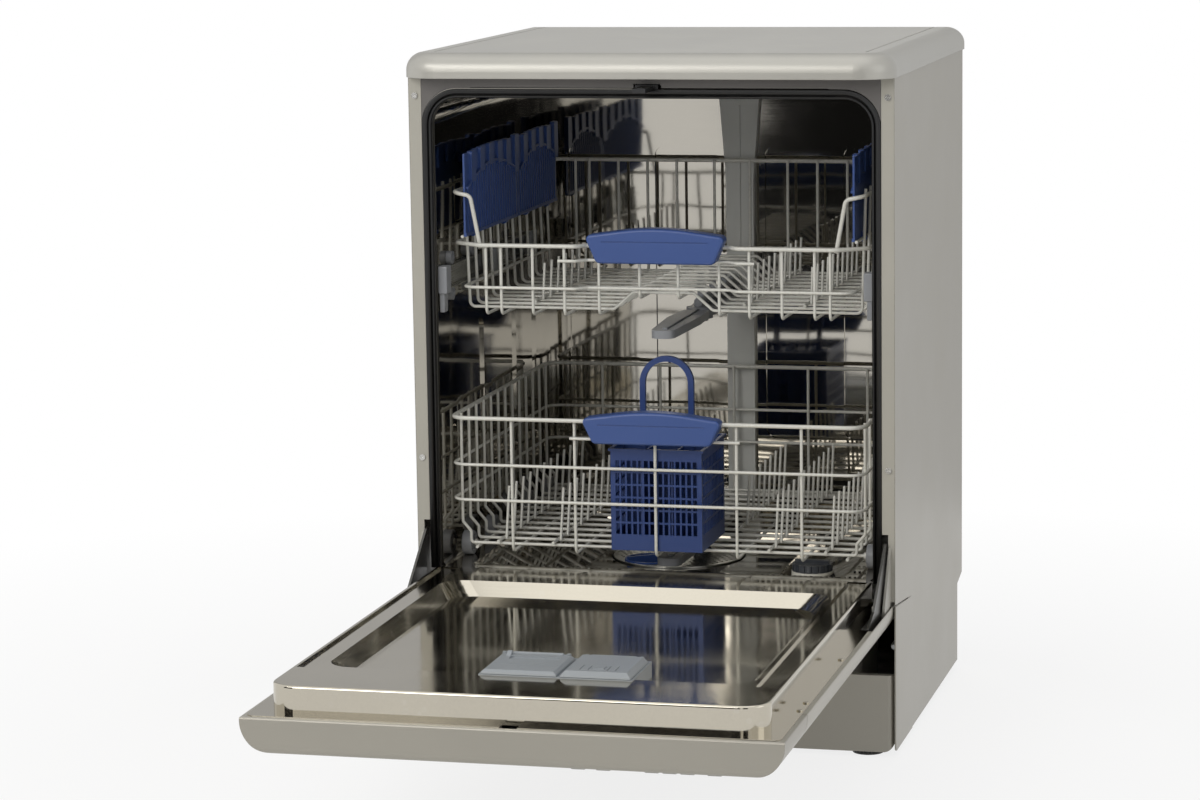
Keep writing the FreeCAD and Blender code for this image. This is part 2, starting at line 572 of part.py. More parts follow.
skins = []
recesses = []
for x0, x1 in ((38.0 - TUB_HALF, -134.0), (-112.0, -24.0), (38.0, 122.0), (144.0, TUB_HALF - 38.0)):
    skin, recess = emboss_y(x0, x1, 300.0, TUB_TOP - 102.0, 14.0)
    skins.append(skin)
    recesses.append(recess)
for y0, y1 in ((90.0, 215.0), (245.0, 370.0), (400.0, 470.0)):
    for z0, z1 in ((300.0, UPPER_ARM_Z + 4.0), (TUB_TOP - 166.0, TUB_TOP - 76.0)):
        skin, recess = emboss_x(y0, y1, z0, z1, 14.0)
        skins += [skin, mirrored(skin)]
        recesses += [recess, mirrored(recess)]
tub = tub.fuse(skins).cut(Part.makeCompound(recesses))
rail_pins = []
for row in WALL_ROLLER_ROWS:
    for height in (RAIL_HIGH + RUNNING_CLEARANCE + WALL_ROLLER_RADIUS,
                   RAIL_LOW - RUNNING_CLEARANCE - WALL_ROLLER_RADIUS):
        for side in (-1, 1):
            hole = rod((side * (TUB_HALF - 2.0), row, height), (side * (TUB_HALF + 4.0), row, height), 2.5)
            rail_pins.append(hole)
tub = tub.cut(Part.makeCompound(rail_pins)).removeSplitter()

wide = TUB_HALF + 40.0
arc_x = TUB_HALF - TUB_TOP_CORNER
arc_z = TUB_TOP - TUB_TOP_CORNER
frame_y = gasket_back + wall
foot_x = TUB_HALF - TUB_FLOOR_CORNER
foot_top = LANE_Z + TUB_FLOOR_CORNER
above = TUB_TOP + 60.0
under = TUB_FLOOR_Z - 20.0
regions = [box(-wide, wide, TUB_REAR, TUB_REAR + 60.0, under, above)]
for y0, y1 in ((-60.0, frame_y), (frame_y, TUB_REAR)):
    for side in (-1, 1):
        bend = [(side * arc_x, arc_z, 0), (side * wide, arc_z, 0), (side * wide, arc_z + wide - arc_x, 0)]
        regions.append(slab_y(bend, y0, y1))
        regions.append(box(min(side * arc_x, side * wide), max(side * arc_x, side * wide), y0, y1, arc_z, above))
    regions.append(box(-wide, -foot_x, y0, y1, foot_top, arc_z))
    regions.append(box(foot_x, wide, y0, y1, foot_top, arc_z))
    if y0 < 0:
        for x0, x1 in ((-arc_x, -15.3), (-15.3, 13.3), (13.3, arc_x)):
            regions.append(box(x0, x1, y0, y1, arc_z, above))
    else:
        regions.append(box(-arc_x, arc_x, y0, y1, arc_z, above))
    regions += both_sides(box(foot_x, wide, y0, y1, under, foot_top))
regions.append(box(-foot_x, foot_x, -60.0, frame_y, under, foot_top))
regions += both_sides(box(DISH_HALF, foot_x, frame_y, TUB_REAR, under, foot_top))
regions.append(box(-DISH_HALF, DISH_HALF, frame_y, DISH_FRONT, under, foot_top))
regions.append(box(-DISH_HALF, DISH_HALF, DISH_REAR, TUB_REAR, under, foot_top))
dish_floor = box(-DISH_FLOOR_HALF, DISH_FLOOR_HALF, DISH_FLOOR_FRONT, DISH_FLOOR_REAR, under, foot_top)
regions += [dish_floor.common(part) for part in sectors(SUMP_X, SUMP_Y, 22.5, 8, 700.0, under, foot_top)]
near_salt = SOFTENER_X - 36.0
fold = (DISH_FLOOR_FRONT - DISH_FRONT) / (DISH_HALF - DISH_FLOOR_HALF)
salt_corner = box(near_salt, DISH_HALF, DISH_FRONT, DISH_FLOOR_FRONT, under, foot_top)
salt_first = 180.0 - degrees(atan2(fold, 1.0))
regions += [salt_corner.common(part) for part in sectors(SOFTENER_X, SOFTENER_Y, salt_first, 8, 300.0, under, foot_top)]
outer = [(-DISH_HALF, DISH_FRONT), (DISH_HALF, DISH_FRONT), (DISH_HALF, DISH_REAR), (-DISH_HALF, DISH_REAR)]
inner = [(-DISH_FLOOR_HALF, DISH_FLOOR_FRONT), (DISH_FLOOR_HALF, DISH_FLOOR_FRONT),
         (DISH_FLOOR_HALF, DISH_FLOOR_REAR), (-DISH_FLOOR_HALF, DISH_FLOOR_REAR)]
for index in range(4):
    following = (index + 1) % 4
    regions.append(prism_up([outer[index], outer[following], inner[following], inner[index]], under, foot_top))
write("tub", parted(tub, regions))

gasket_outer = arch(GASKET_HALF, LANE_Z - 1.0, GASKET_TOP, GASKET_CORNER)
gasket_inner = arch(GASKET_HALF - GASKET_WIDTH, LANE_Z - 2.0, GASKET_TOP - GASKET_WIDTH,
                    GASKET_CORNER - GASKET_WIDTH)
gasket = slab_y(gasket_outer, -GASKET_PROUD, GASKET_DEPTH).cut(slab_y(gasket_inner, -5.0, 40.0))
groove_outer = arch(GASKET_HALF - GASKET_GROOVE_FROM, LANE_Z - 2.0, GASKET_TOP - GASKET_GROOVE_FROM,
                    GASKET_CORNER - GASKET_GROOVE_FROM)
groove_inner = arch(GASKET_HALF - GASKET_GROOVE_TO, LANE_Z - 3.0, GASKET_TOP - GASKET_GROOVE_TO,
                    GASKET_CORNER - GASKET_GROOVE_TO)
gasket_groove = slab_y(groove_outer, -5.0, 2.6).cut(slab_y(groove_inner, -6.0, 9.0))
gasket = gasket.cut(gasket_groove)
write("tub_gasket", gasket)

# ---- base tray, plinth, feet, springs --------------------------------------------------------------
tray_front = PLINTH_SETBACK + PLINTH_EDGE + 1.0
tray_half = SIDE_INNER - 3.0
tray_top = PLINTH_TOP - 3.0
tray = box(-tray_half, tray_half, tray_front, step_y - 3.0, 14.0, tray_top)
tray = tray.cut(box(-tray_half + 3.0, tray_half - 3.0, tray_front + 3.0, step_y - 6.0, 20.0, tray_top + 1.0))
foot_places = []
for y in (FOOT_FRONT_Y, FOOT_REAR_Y):
    for side in (-1, 1):
        foot_places.append((side * (SIDE_OUTER - FOOT_INSET_X), y))
for x, y in foot_places:
    boss = rod((x, y, 14.0), (x, y, 62.0), 11.0)
    tray = tray.fuse(boss)
for x, y in foot_places:
    tray = tray.cut(rod((x, y, 0.0), (x, y, 63.0), FOOT_SCREW_RADIUS + 0.3))
spring_anchor_y = 330.0
spring_z = 124.0
spring_x = SIDE_INNER - 9.0
for side in (-1, 1):
    post = box(spring_x - 5.0, spring_x + 4.0, spring_anchor_y, spring_anchor_y + 6.0, tray_top - 30.0, spring_z + 6.0)
    tray = tray.fuse(post if side > 0 else mirrored(post))
gland_x = TUB_HALF - 60.0
valve_x = 60.0 - TUB_HALF
tray_holes = ((valve_x, VALVE_NECK_RADIUS + 0.5), (gland_x, 9.3))
for x, radius in tray_holes:
    tray = tray.cut(rod((x, step_y - 12.0, 70.0), (x, step_y, 70.0), radius))
tray = tray.removeSplitter()
tray_floor = box(-tray_half - 9.0, tray_half + 9.0, 0.0, step_y, 0.0, 20.0)
regions = [tray_floor]
for x, y in foot_places:
    regions.append(box(x - 12.0, x + 12.0, y - 12.0, y + 12.0, 20.0, 63.0))
regions += both_sides(box(spring_x - 6.0, tray_half + 1.0, spring_anchor_y - 1.0, spring_anchor_y + 7.0,
                          tray_top - 30.0, spring_z + 9.0))
regions += both_sides(box(tray_half - 3.0, tray_half + 9.0, 0.0, step_y, 20.0, tray_top + 1.0))
regions.append(box(-tray_half, tray_half, 0.0, tray_front + 3.0, 20.0, tray_top + 1.0))
around = 19.0
for x, radius in tray_holes:
    for index in range(4):
        corners = [(x, 70.0, 0)]
        for angle in (radians(45.0 + 90.0 * index), radians(135.0 + 90.0 * index)):
            corners.append((x + around * sqrt(2.0) * cos(angle), 70.0 + around * sqrt(2.0) * sin(angle), 0))
        regions.append(slab_y(corners, step_y - 6.0, step_y))
    regions.append(box(x - around, x + around, step_y - 6.0, step_y, 20.0, 70.0 - around))
    regions.append(box(x - around, x + around, step_y - 6.0, step_y, 70.0 + around, tray_top + 1.0))
write("base_tray", parted(tray, regions))

plinth_half = SIDE_INNER - PLINTH_SIDE_GAP
plinth_inner = plinth_half - PLINTH_THICKNESS
plinth_skin = PLINTH_SETBACK + PLINTH_THICKNESS
plan = [(-plinth_half, tray_front, 0), (-plinth_half, PLINTH_SETBACK, PLINTH_EDGE)]
plan += [(plinth_half, PLINTH_SETBACK, PLINTH_EDGE), (plinth_half, tray_front, 0)]
hollow = [(-plinth_inner, tray_front + 1.0, 0), (-plinth_inner, plinth_skin, PLINTH_EDGE - PLINTH_THICKNESS)]
hollow += [(plinth_inner, plinth_skin, PLINTH_EDGE - PLINTH_THICKNESS), (plinth_inner, tray_front + 1.0, 0)]
plinth_face = [(-plinth_half, PLINTH_BOTTOM, PLINTH_CORNER), (plinth_half, PLINTH_BOTTOM, PLINTH_CORNER)]
plinth_face += [(plinth_half, PLINTH_TOP, 2.0), (-plinth_half, PLINTH_TOP, 2.0)]
plinth = slab_z(plan, PLINTH_BOTTOM, PLINTH_TOP)
plinth = plinth.cut(slab_z(hollow, PLINTH_BOTTOM - 1.0, PLINTH_TOP - PLINTH_THICKNESS))
plinth = plinth.common(slab_y(plinth_face, 0.0, tray_front + 1.0)).removeSplitter()
write("plinth", plinth)


def foot(x, y):
    """Levelling foot: ribbed pad and threaded stem."""
    pad = rod((x, y, 0.0), (x, y, FOOT_HEIGHT), FOOT_RADIUS)
    pad = pad.makeFillet(2.0, [edge for edge in pad.Edges if edge.BoundBox.ZMin > FOOT_HEIGHT - 0.1])
    hexagon = Part.Face(Part.makePolygon([Vector(x + 9.0 * cos(i * pi / 3), y + 9.0 * sin(i * pi / 3), FOOT_HEIGHT)
                                          for i in range(7)])).extrude(Vector(0, 0, 4.0))
    stem = rod((x, y, FOOT_HEIGHT), (x, y, FOOT_HEIGHT + FOOT_SCREW_LENGTH), FOOT_SCREW_RADIUS - 0.6)
    whole = pad.fuse([hexagon, stem])
    for index in range(12):
        z = FOOT_HEIGHT + 10.0 + index * 2.8
        whole = whole.fuse(rod((x, y, z), (x, y, z + 1.4), FOOT_SCREW_RADIUS))
    for index in range(24):
        angle = index * pi / 12
        flute = rod((x + FOOT_RADIUS * cos(angle), y + FOOT_RADIUS * sin(angle), 2.0),
                    (x + FOOT_RADIUS * cos(angle), y + FOOT_RADIUS * sin(angle), FOOT_HEIGHT + 1.0), 1.1)
        whole = whole.cut(flute)
    return whole


front_left, front_right, rear_left, rear_right = [foot(x, y) for x, y in foot_places]
write("foot_front_left", front_left)
write("foot_front_right", front_right)
write("feet_rear", [rear_left, rear_right])

spring_start = 56.0
springs = []
for side in (-1, 1):
    profile = [Vector(0, spring_start, 0), Vector(3.0, spring_start, 0)]
    coils = 46
    pitch = (spring_anchor_y - 4.0 - spring_start - 8.0) / coils
    for index in range(coils):
        start = spring_start + 4.0 + index * pitch
        profile += [Vector(3.1, start + pitch * 0.10, 0), Vector(4.6, start + pitch * 0.32, 0)]
        profile += [Vector(4.6, start + pitch * 0.62, 0), Vector(3.1, start + pitch * 0.86, 0)]
    profile += [Vector(3.0, spring_anchor_y - 4.0, 0), Vector(0, spring_anchor_y - 4.0, 0), profile[0]]
    coil = Part.Face(Part.makePolygon(profile)).revolve(Vector(0, 0, 0), Vector(0, 1, 0), 360)
    hook = rod((0, spring_anchor_y - 5.0, 0), (0, spring_anchor_y - 0.3, 0), 1.4)
    coil = coil.fuse(hook)
    coil.translate(Vector(spring_x - 1.5, 0, spring_z))
    springs.append(coil if side > 0 else mirrored(coil))
write("door_springs", springs)

# ---- wash system under the tub ----------------------------------------------------------------------
hub = (0.0, HUB_Y)
cup = (FILTER_CUP_X + 3.0, FILTER_CUP_Y + 3.0)
cup_radius = FILTER_CUP_RADIUS - 4.0
sump_top = TUB_FLOOR_Z - wall - 0.05
sump = rod((SUMP_X, SUMP_Y, 150.0), (SUMP_X, SUMP_Y, sump_top), SUMP_HOLE_RADIUS + 6.0)
sump = sump.cut(rod((SUMP_X, SUMP_Y, 153.0), (SUMP_X, SUMP_Y, sump_top + 1.0), SUMP_HOLE_RADIUS + 2.0))
well_bottom = 112.0
well = rod((cup[0], cup[1], well_bottom), (cup[0], cup[1], 153.0), cup_radius + 6.0)
sump = sump.fuse(well).cut(rod((cup[0], cup[1], well_bottom + 3.0), (cup[0], cup[1], 160.0), cup_radius + 3.0))
tower = rod((hub[0], hub[1], 150.0), (hub[0], hub[1], LOWER_ARM_Z - 8.0), 12.0)
tower = tower.cut(rod((hub[0], hub[1], 149.0), (hub[0], hub[1], LOWER_ARM_Z - 7.0), 8.0))
sump = sump.fuse(tower).cut(rod((hub[0], hub[1], 149.0), (hub[0], hub[1], 160.0), 8.0))
spigot = rod((hub[0], hub[1], LOWER_ARM_Z - 8.5), (hub[0], hub[1], LOWER_ARM_Z + 12.0), 7.0)
spigot = spigot.cut(rod((hub[0], hub[1], LOWER_ARM_Z - 9.0), (hub[0], hub[1], LOWER_ARM_Z + 9.0), 4.5))
for index in range(4):
    angle = index * pi / 2
    port = rod((hub[0], hub[1], LOWER_ARM_Z + 2.0),
               (hub[0] + 9.0 * cos(angle), hub[1] + 9.0 * sin(angle), LOWER_ARM_Z + 2.0), 2.2)
    spigot = spigot.cut(port)
collar = rod((hub[0], hub[1], LOWER_ARM_Z - 9.0), (hub[0], hub[1], LOWER_ARM_Z - 2.3), 10.5)
collar = collar.cut(rod((hub[0], hub[1], LOWER_ARM_Z - 10.0), (hub[0], hub[1], LOWER_ARM_Z - 2.0), 4.5))
sump = sump.fuse([spigot, collar]).removeSplitter()
pump_x = SUMP_X + 50.0
sump_outlet = rod((pump_x, SUMP_Y + 40.0, 131.0), (pump_x, SUMP_Y + 40.0, 153.0), 14.0)
sump_outlet = sump_outlet.cut(rod((pump_x, SUMP_Y + 40.0, 130.0), (pump_x, SUMP_Y + 40.0, 154.0), 11.0))
sump = sump.fuse(sump_outlet).cut(rod((pump_x, SUMP_Y + 40.0, 130.0), (pump_x, SUMP_Y + 40.0, 158.0), 11.0))
drain_outlet = rod((cup[0] - 30.0, cup[1], 124.0), (cup[0] - 62.0, cup[1], 124.0), 10.0)
drain_bore = rod((cup[0] - 26.0, cup[1], 124.0), (cup[0] - 63.0, cup[1], 124.0), 7.5)
sump = sump.fuse(drain_outlet).cut(drain_bore)
inside_well = rod((cup[0], cup[1], well_bottom + 3.0), (cup[0], cup[1], 160.0), cup_radius + 3.0)
sump = sump.cut(inside_well).removeSplitter()
write("sump", sump)

plate_radius = FILTER_PLATE_RADIUS - 10.0
plate_z = TUB_FLOOR_Z - 0.2
filter_plate = rod((SUMP_X, SUMP_Y, plate_z), (SUMP_X, SUMP_Y, plate_z + 1.0), plate_radius)
bead = rod((SUMP_X, SUMP_Y, plate_z), (SUMP_X, SUMP_Y, plate_z + 2.2), plate_radius)
bead = bead.cut(rod((SUMP_X, SUMP_Y, plate_z - 1.0), (SUMP_X, SUMP_Y, plate_z + 3.0), plate_radius - 3.0))
filter_plate = filter_plate.fuse(bead)
filter_plate = filter_plate.cut(rod((cup[0], cup[1], plate_z - 1.0), (cup[0], cup[1], plate_z + 4.0), cup_radius + 0.5))
filter_plate = filter_plate.cut(rod((hub[0], hub[1], plate_z - 1.0), (hub[0], hub[1], plate_z + 4.0), 12.5))
perforations = []
pitch = 9.0
for row in range(-9, 10):
    for column in range(-9, 10):
        x = SUMP_X + (column + (row % 2) / 2) * pitch
        y = SUMP_Y + row * pitch * 0.87
        centre_room = hypot(x - SUMP_X, y - SUMP_Y) < plate_radius - 7.0
        cup_room = hypot(x - cup[0], y - cup[1]) > cup_radius + 6.0
        hub_room = hypot(x - hub[0], y - hub[1]) > 18.0
        if centre_room and cup_room and hub_room:
            perforations.append(rod((x, y, plate_z - 1.0), (x, y, plate_z + 2.0), 2.2))
filter_plate = filter_plate.cut(Part.makeCompound(perforations)).removeSplitter()
write("filter_plate", filter_plate)

cup_top = TUB_FLOOR_Z + 3.0
filter_cup = rod((cup[0], cup[1], well_bottom + 8.0), (cup[0], cup[1], cup_top), cup_radius)
filter_cup = filter_cup.cut(rod((cup[0], cup[1], well_bottom + 10.0), (cup[0], cup[1], cup_top + 1.0), cup_radius - 2.0))
windows = []
for ring_index in range(3):
    for index in range(10):
        angle = index * pi / 5
        window = box(cup_radius - 5.0, cup_radius + 3.0, -4.0, 4.0, 0.0, 14.0)
        window.rotate(Vector(0, 0, 0), Vector(0, 0, 1), degrees(angle))
        window.translate(Vector(cup[0], cup[1], well_bottom + 14.0 + ring_index * 18.0))
        windows.append(window)
filter_cup = filter_cup.cut(Part.makeCompound(windows))
grip = box(-cup_radius + 1.0, cup_radius - 1.0, -2.0, 2.0, TUB_FLOOR_Z - 14.0, cup_top + 4.0)
grip.rotate(Vector(0, 0, 0), Vector(0, 0, 1), 35)
grip.translate(Vector(cup[0], cup[1], 0))
filter_cup = filter_cup.fuse(grip).removeSplitter()
write("filter_cup", filter_cup)


def spray_arm(centre_x, centre_y, z, reach, hub_outer, bore):
    """Hollow-looking twin blade with a round hub and slanted jets; turns about a vertical axis."""
    blade = []
    for direction in (1, -1):
        tip = direction * reach
        root = direction * 14.0
        corners = [(-ARM_WIDTH * 0.36, root, 2.0), (-ARM_WIDTH * 0.5, root + direction * reach * 0.35, 30.0)]
        corners += [(-ARM_WIDTH * 0.34, tip, 12.0), (ARM_WIDTH * 0.30, tip, 12.0)]
        corners += [(ARM_WIDTH * 0.42, root + direction * reach * 0.3, 30.0), (ARM_WIDTH * 0.36, root, 2.0)]
        blade.append(slab_z(corners, z, z + ARM_THICKNESS))
    dome = rod((0, 0, z - 2.0), (0, 0, z + ARM_THICKNESS + 2.0), hub_outer)
    arm = blade[0].fuse([blade[1], dome])
    ridge = []
    for direction in (1, -1):
        ridge.append(box(-3.0, 3.0, min(direction * 20.0, direction * (reach - 14.0)),
                         max(direction * 20.0, direction * (reach - 14.0)), z + ARM_THICKNESS, z + ARM_THICKNESS + 2.0))
    arm = arm.fuse(ridge)
    arm = arm.cut(rod((0, 0, z - 3.0), (0, 0, z + ARM_THICKNESS + 3.0), bore))
    jets = []
    for direction in (1, -1):
        for index in range(5):
            y = direction * (36.0 + index * (reach - 56.0) / 4.6)
            x = 9.0 if index % 2 else -9.0
            jets.append(box(x - 3.2, x + 3.2, y - 1.1, y + 1.1, z + ARM_THICKNESS - 3.0, z + ARM_THICKNESS + 1.0))
    arm = arm.cut(Part.makeCompound(jets)).removeSplitter()
    arm.translate(Vector(centre_x, centre_y, 0))
    return arm


lower_arm = spray_arm(hub[0], hub[1], LOWER_ARM_Z, LOWER_ARM_REACH, 17.0, 7.0 + RUNNING_CLEARANCE)
write("lower_spray_arm", lower_arm)

body = rod((pump_x, SUMP_Y + 40.0, 92.0), (pump_x, SUMP_Y + 40.0, 130.9), 34.0)
motor = rod((pump_x, SUMP_Y + 58.0, 105.0), (pump_x, SUMP_Y + 150.0, 105.0), 30.0)
cap = rod((pump_x, SUMP_Y + 150.0, 105.0), (pump_x, SUMP_Y + 156.0, 105.0), 26.0)
riser = rod((pump_x + 20.0, SUMP_Y + 30.0, 105.0), (pump_x + 62.0, SUMP_Y + 30.0, 105.0), 11.0)
fins = []
for index in range(7):
    y = SUMP_Y + 78.0 + index * 9.0
    fins.append(rod((pump_x, y, 105.0), (pump_x, y + 3.0, 105.0), 32.0))
foot_pad = box(pump_x - 20.0, pump_x + 20.0, SUMP_Y + 84.0, SUMP_Y + 124.0, 20.2, 80.0)
wash_pump = body.fuse([motor, cap, riser, foot_pad] + fins)
inlet_bore = rod((pump_x, SUMP_Y + 40.0, 110.0), (pump_x, SUMP_Y + 40.0, 132.0), 10.5)
wash_pump = wash_pump.cut(inlet_bore).removeSplitter()

drain = rod((cup[0] - 62.3, cup[1], 124.0), (cup[0] - 96.0, cup[1], 124.0), 25.0)
drain = drain.fuse(rod((cup[0] - 96.0, cup[1], 124.0), (cup[0] - 130.0, cup[1], 124.0), 21.0))
drain_spigot = rod((cup[0] - 80.0, cup[1], 124.0), (cup[0] - 80.0, cup[1] + 60.0, 124.0), 9.0)
drain = drain.fuse(drain_spigot).cut(rod((cup[0] - 62.0, cup[1], 124.0), (cup[0] - 80.0, cup[1], 124.0), 7.0))
drain_leg = box(cup[0] - 90.0, cup[0] - 72.0, cup[1] - 8.0, cup[1] + 8.0, 20.2, 102.0)
drain = drain.fuse(drain_leg).removeSplitter()
write("pumps", [wash_pump, drain])

tank_top = LANE_Z - 42.0
tank_x0 = SOFTENER_X - 70.0
tank_x1 = SOFTENER_X + 64.0
tank_y0 = SOFTENER_Y - 24.0
tank_y1 = SOFTENER_Y + 112.0


def tank_plan(inset, corner):
    return [(tank_x0 + inset, tank_y0 + inset, corner), (tank_x1 - inset, tank_y0 + inset, corner),
            (tank_x1 - inset, tank_y1 - inset, corner), (tank_x0 + inset + 24.0, tank_y1 - inset, corner),
            (tank_x0 + inset, tank_y1 - inset - 24.0, corner)]


tank = slab_z(tank_plan(0.0, 14.0), 40.0, tank_top)
neck_radius = SALT_CAP_RADIUS - 4.3
neck_top = LANE_Z - 6.0
neck = rod((SOFTENER_X, SOFTENER_Y, tank_top), (SOFTENER_X, SOFTENER_Y, neck_top), neck_radius)
tank = tank.fuse(neck)
salt_bore = rod((SOFTENER_X, SOFTENER_Y, 60.0), (SOFTENER_X, SOFTENER_Y, neck_top + 1.0), neck_radius - 3.0)
inner_tank = slab_z(tank_plan(4.0, 10.0), 44.0, tank_top - 4.0)
tank = tank.cut(inner_tank).cut(salt_bore)
for x, y in ((tank_x0 + 30.0, tank_y0 + 30.0), (tank_x1 - 30.0, tank_y1 - 30.0)):
    tank = tank.fuse(rod((x, y, 20.2), (x, y, 40.5), 8.0))
write("water_softener", tank.removeSplitter())

cap_low = neck_top + RUNNING_CLEARANCE
salt_cap = rod((SOFTENER_X, SOFTENER_Y, cap_low), (SOFTENER_X, SOFTENER_Y, cap_low + 9.0), SALT_CAP_RADIUS - 5.0)
plug = rod((SOFTENER_X, SOFTENER_Y, cap_low - 12.0), (SOFTENER_X, SOFTENER_Y, cap_low), neck_radius - 3.4)
salt_cap = salt_cap.fuse(plug)
for index in range(18):
    angle = index * pi / 9
    x = SOFTENER_X + (SALT_CAP_RADIUS - 5.0) * cos(angle)
    y = SOFTENER_Y + (SALT_CAP_RADIUS - 5.0) * sin(angle)
    salt_cap = salt_cap.cut(rod((x, y, cap_low - 1.0), (x, y, cap_low + 10.0), 1.6))
finger_bar = box(-SALT_CAP_RADIUS + 9.0, SALT_CAP_RADIUS - 9.0, -3.0, 3.0, cap_low + 8.9, cap_low + 13.0)
finger_bar.translate(Vector(SOFTENER_X, SOFTENER_Y, 0))
salt_cap = salt_cap.fuse(finger_bar).removeSplitter()
write("salt_cap", salt_cap)

inlet_y = step_y + 3.0
valve = rod((valve_x, step_y - 14.0, 70.0), (valve_x, inlet_y, 70.0), VALVE_NECK_RADIUS)
valve = valve.fuse(rod((valve_x, step_y + 0.3, 70.0), (valve_x, inlet_y, 70.0), 17.0))
valve = valve.fuse(rod((valve_x, inlet_y, 70.0), (valve_x, inlet_y + INLET_LENGTH, 70.0), INLET_RADIUS))
valve = valve.fuse(box(valve_x - 18.0, valve_x + 18.0, step_y - 52.0, step_y - 6.2, 50.0, 96.0))
for index in range(5):
    y = inlet_y + 1.6 + index * 2.2
    thread = rod((valve_x, y, 70.0), (valve_x, y + 1.0, 70.0), INLET_RADIUS + 1.2)
    thread = thread.cut(rod((valve_x, y - 1.0, 70.0), (valve_x, y + 2.0, 70.0), INLET_RADIUS - 1.2))
    valve = valve.cut(thread)
valve = valve.cut(rod((valve_x, step_y - 4.0, 70.0), (valve_x, inlet_y + INLET_LENGTH + 1.0, 70.0), 8.5))
valve = valve.fuse(rod((valve_x, step_y - 30.0, 95.0), (valve_x, step_y - 30.0, 106.0), 12.0))
valve = valve.fuse(box(valve_x - 15.0, valve_x + 15.0, step_y - 46.0, step_y - 16.0, 20.2, 51.0)).removeSplitter()
valve_face = box(valve_x - 40.0, valve_x + 40.0, step_y - 60.0, step_y - 6.2, 0.0, 200.0)
write("inlet_valve", parted(valve, [valve_face]))

gland = rod((gland_x, step_y - 14.0, 70.0), (gland_x, step_y + 6.0, 70.0), 9.0)
gland = gland.fuse(rod((gland_x, step_y - 2.9, 70.0), (gland_x, step_y + 1.0, 70.0), 13.0))
nut = Part.Face(Part.makePolygon([Vector(gland_x + 13.0 * cos(i * pi / 3), step_y - 11.0, 70.0 + 13.0 * sin(i * pi / 3))
                                  for i in range(7)])).extrude(Vector(0, 4.9, 0))
gland = gland.fuse(nut)
gland = gland.cut(rod((gland_x, step_y - 15.0, 70.0), (gland_x, step_y + 7.0, 70.0), 4.4)).removeSplitter()
write("mains_gland", gland)

duct_face_y = TUB_REAR - DUCT_DEPTH
duct_bottom = LANE_Z + 3.0
duct_top = TUB_TOP - 8.0
duct_corners = [(DUCT_X - DUCT_NARROW, duct_bottom, 6.0), (DUCT_X + DUCT_NARROW, duct_bottom, 6.0)]
duct_corners += [(DUCT_X + DUCT_NARROW, TUB_TOP - 146.0, 60.0), (DUCT_X + DUCT_WIDE, TUB_TOP - 38.0, 20.0)]
duct_corners += [(DUCT_X + DUCT_WIDE, duct_top, 6.0), (DUCT_X - DUCT_WIDE, duct_top, 6.0)]
duct_corners += [(DUCT_X - DUCT_WIDE, TUB_TOP - 38.0, 20.0), (DUCT_X - DUCT_NARROW, TUB_TOP - 146.0, 60.0)]
duct = slab_y(duct_corners, duct_face_y, TUB_REAR)
pipe_z = UPPER_ARM_Z + ARM_THICKNESS + 9.0
outlet_y = duct_face_y - 6.0
outlet = rod((0.0, duct_face_y, pipe_z), (0.0, outlet_y, pipe_z), FEED_PIPE_RADIUS + 3.5)
duct = duct.fuse(outlet)
duct = duct.cut(rod((0.0, outlet_y - 1.0, pipe_z), (0.0, duct_face_y + 5.0, pipe_z), FEED_PIPE_RADIUS - 1.0))
rib = box(DUCT_X - 1.2, DUCT_X + 1.2, duct_face_y - 1.6, duct_face_y + 0.5,
          TUB_TOP - 236.0, TUB_TOP - 48.0)
duct = duct.fuse(rib).removeSplitter()
write("water_duct", duct)

# ---- wall rollers and outer screws ------------------------------------------------------------------
rollers = []
roller_out = TUB_HALF - 0.3
for row in WALL_ROLLER_ROWS:
    for height in (RAIL_HIGH + RUNNING_CLEARANCE + WALL_ROLLER_RADIUS,
                   RAIL_LOW - RUNNING_CLEARANCE - WALL_ROLLER_RADIUS):
        disc = rod((RAIL_IN + 1.5, row, height), (roller_out, row, height), WALL_ROLLER_RADIUS)
        face_groove = rod((RAIL_IN + 1.0, row, height), (RAIL_IN + 2.3, row, height), WALL_ROLLER_RADIUS - 2.0)
        face_groove = face_groove.cut(rod((RAIL_IN, row, height), (RAIL_IN + 3.0, row, height), 3.6))
        axle = rod((RAIL_IN + 0.8, row, height), (TUB_HALF + 3.5, row, height), 2.45)
        piece = disc.cut(face_groove).fuse(axle).removeSplitter()
        rollers += [piece, mirrored(piece)]
write("wall_rollers", rollers)

screws = []
for side in (-1, 1):
    for height in UPRIGHT_SCREW_HEIGHTS:
        screws.append(screw(side * screw_x, 0.0, height, (0, -1, 0), 3.8, 1.8, 2.2, 7.0))
write("cabinet_screws", screws)

# ---- door: outer panel and control fascia --------------------------------------------------------------


def d_section(half, low, high, round_low, round_high):
    return [(-half, high, round_high), (half, high, round_high), (half, low, round_low), (-half, low, round_low)]


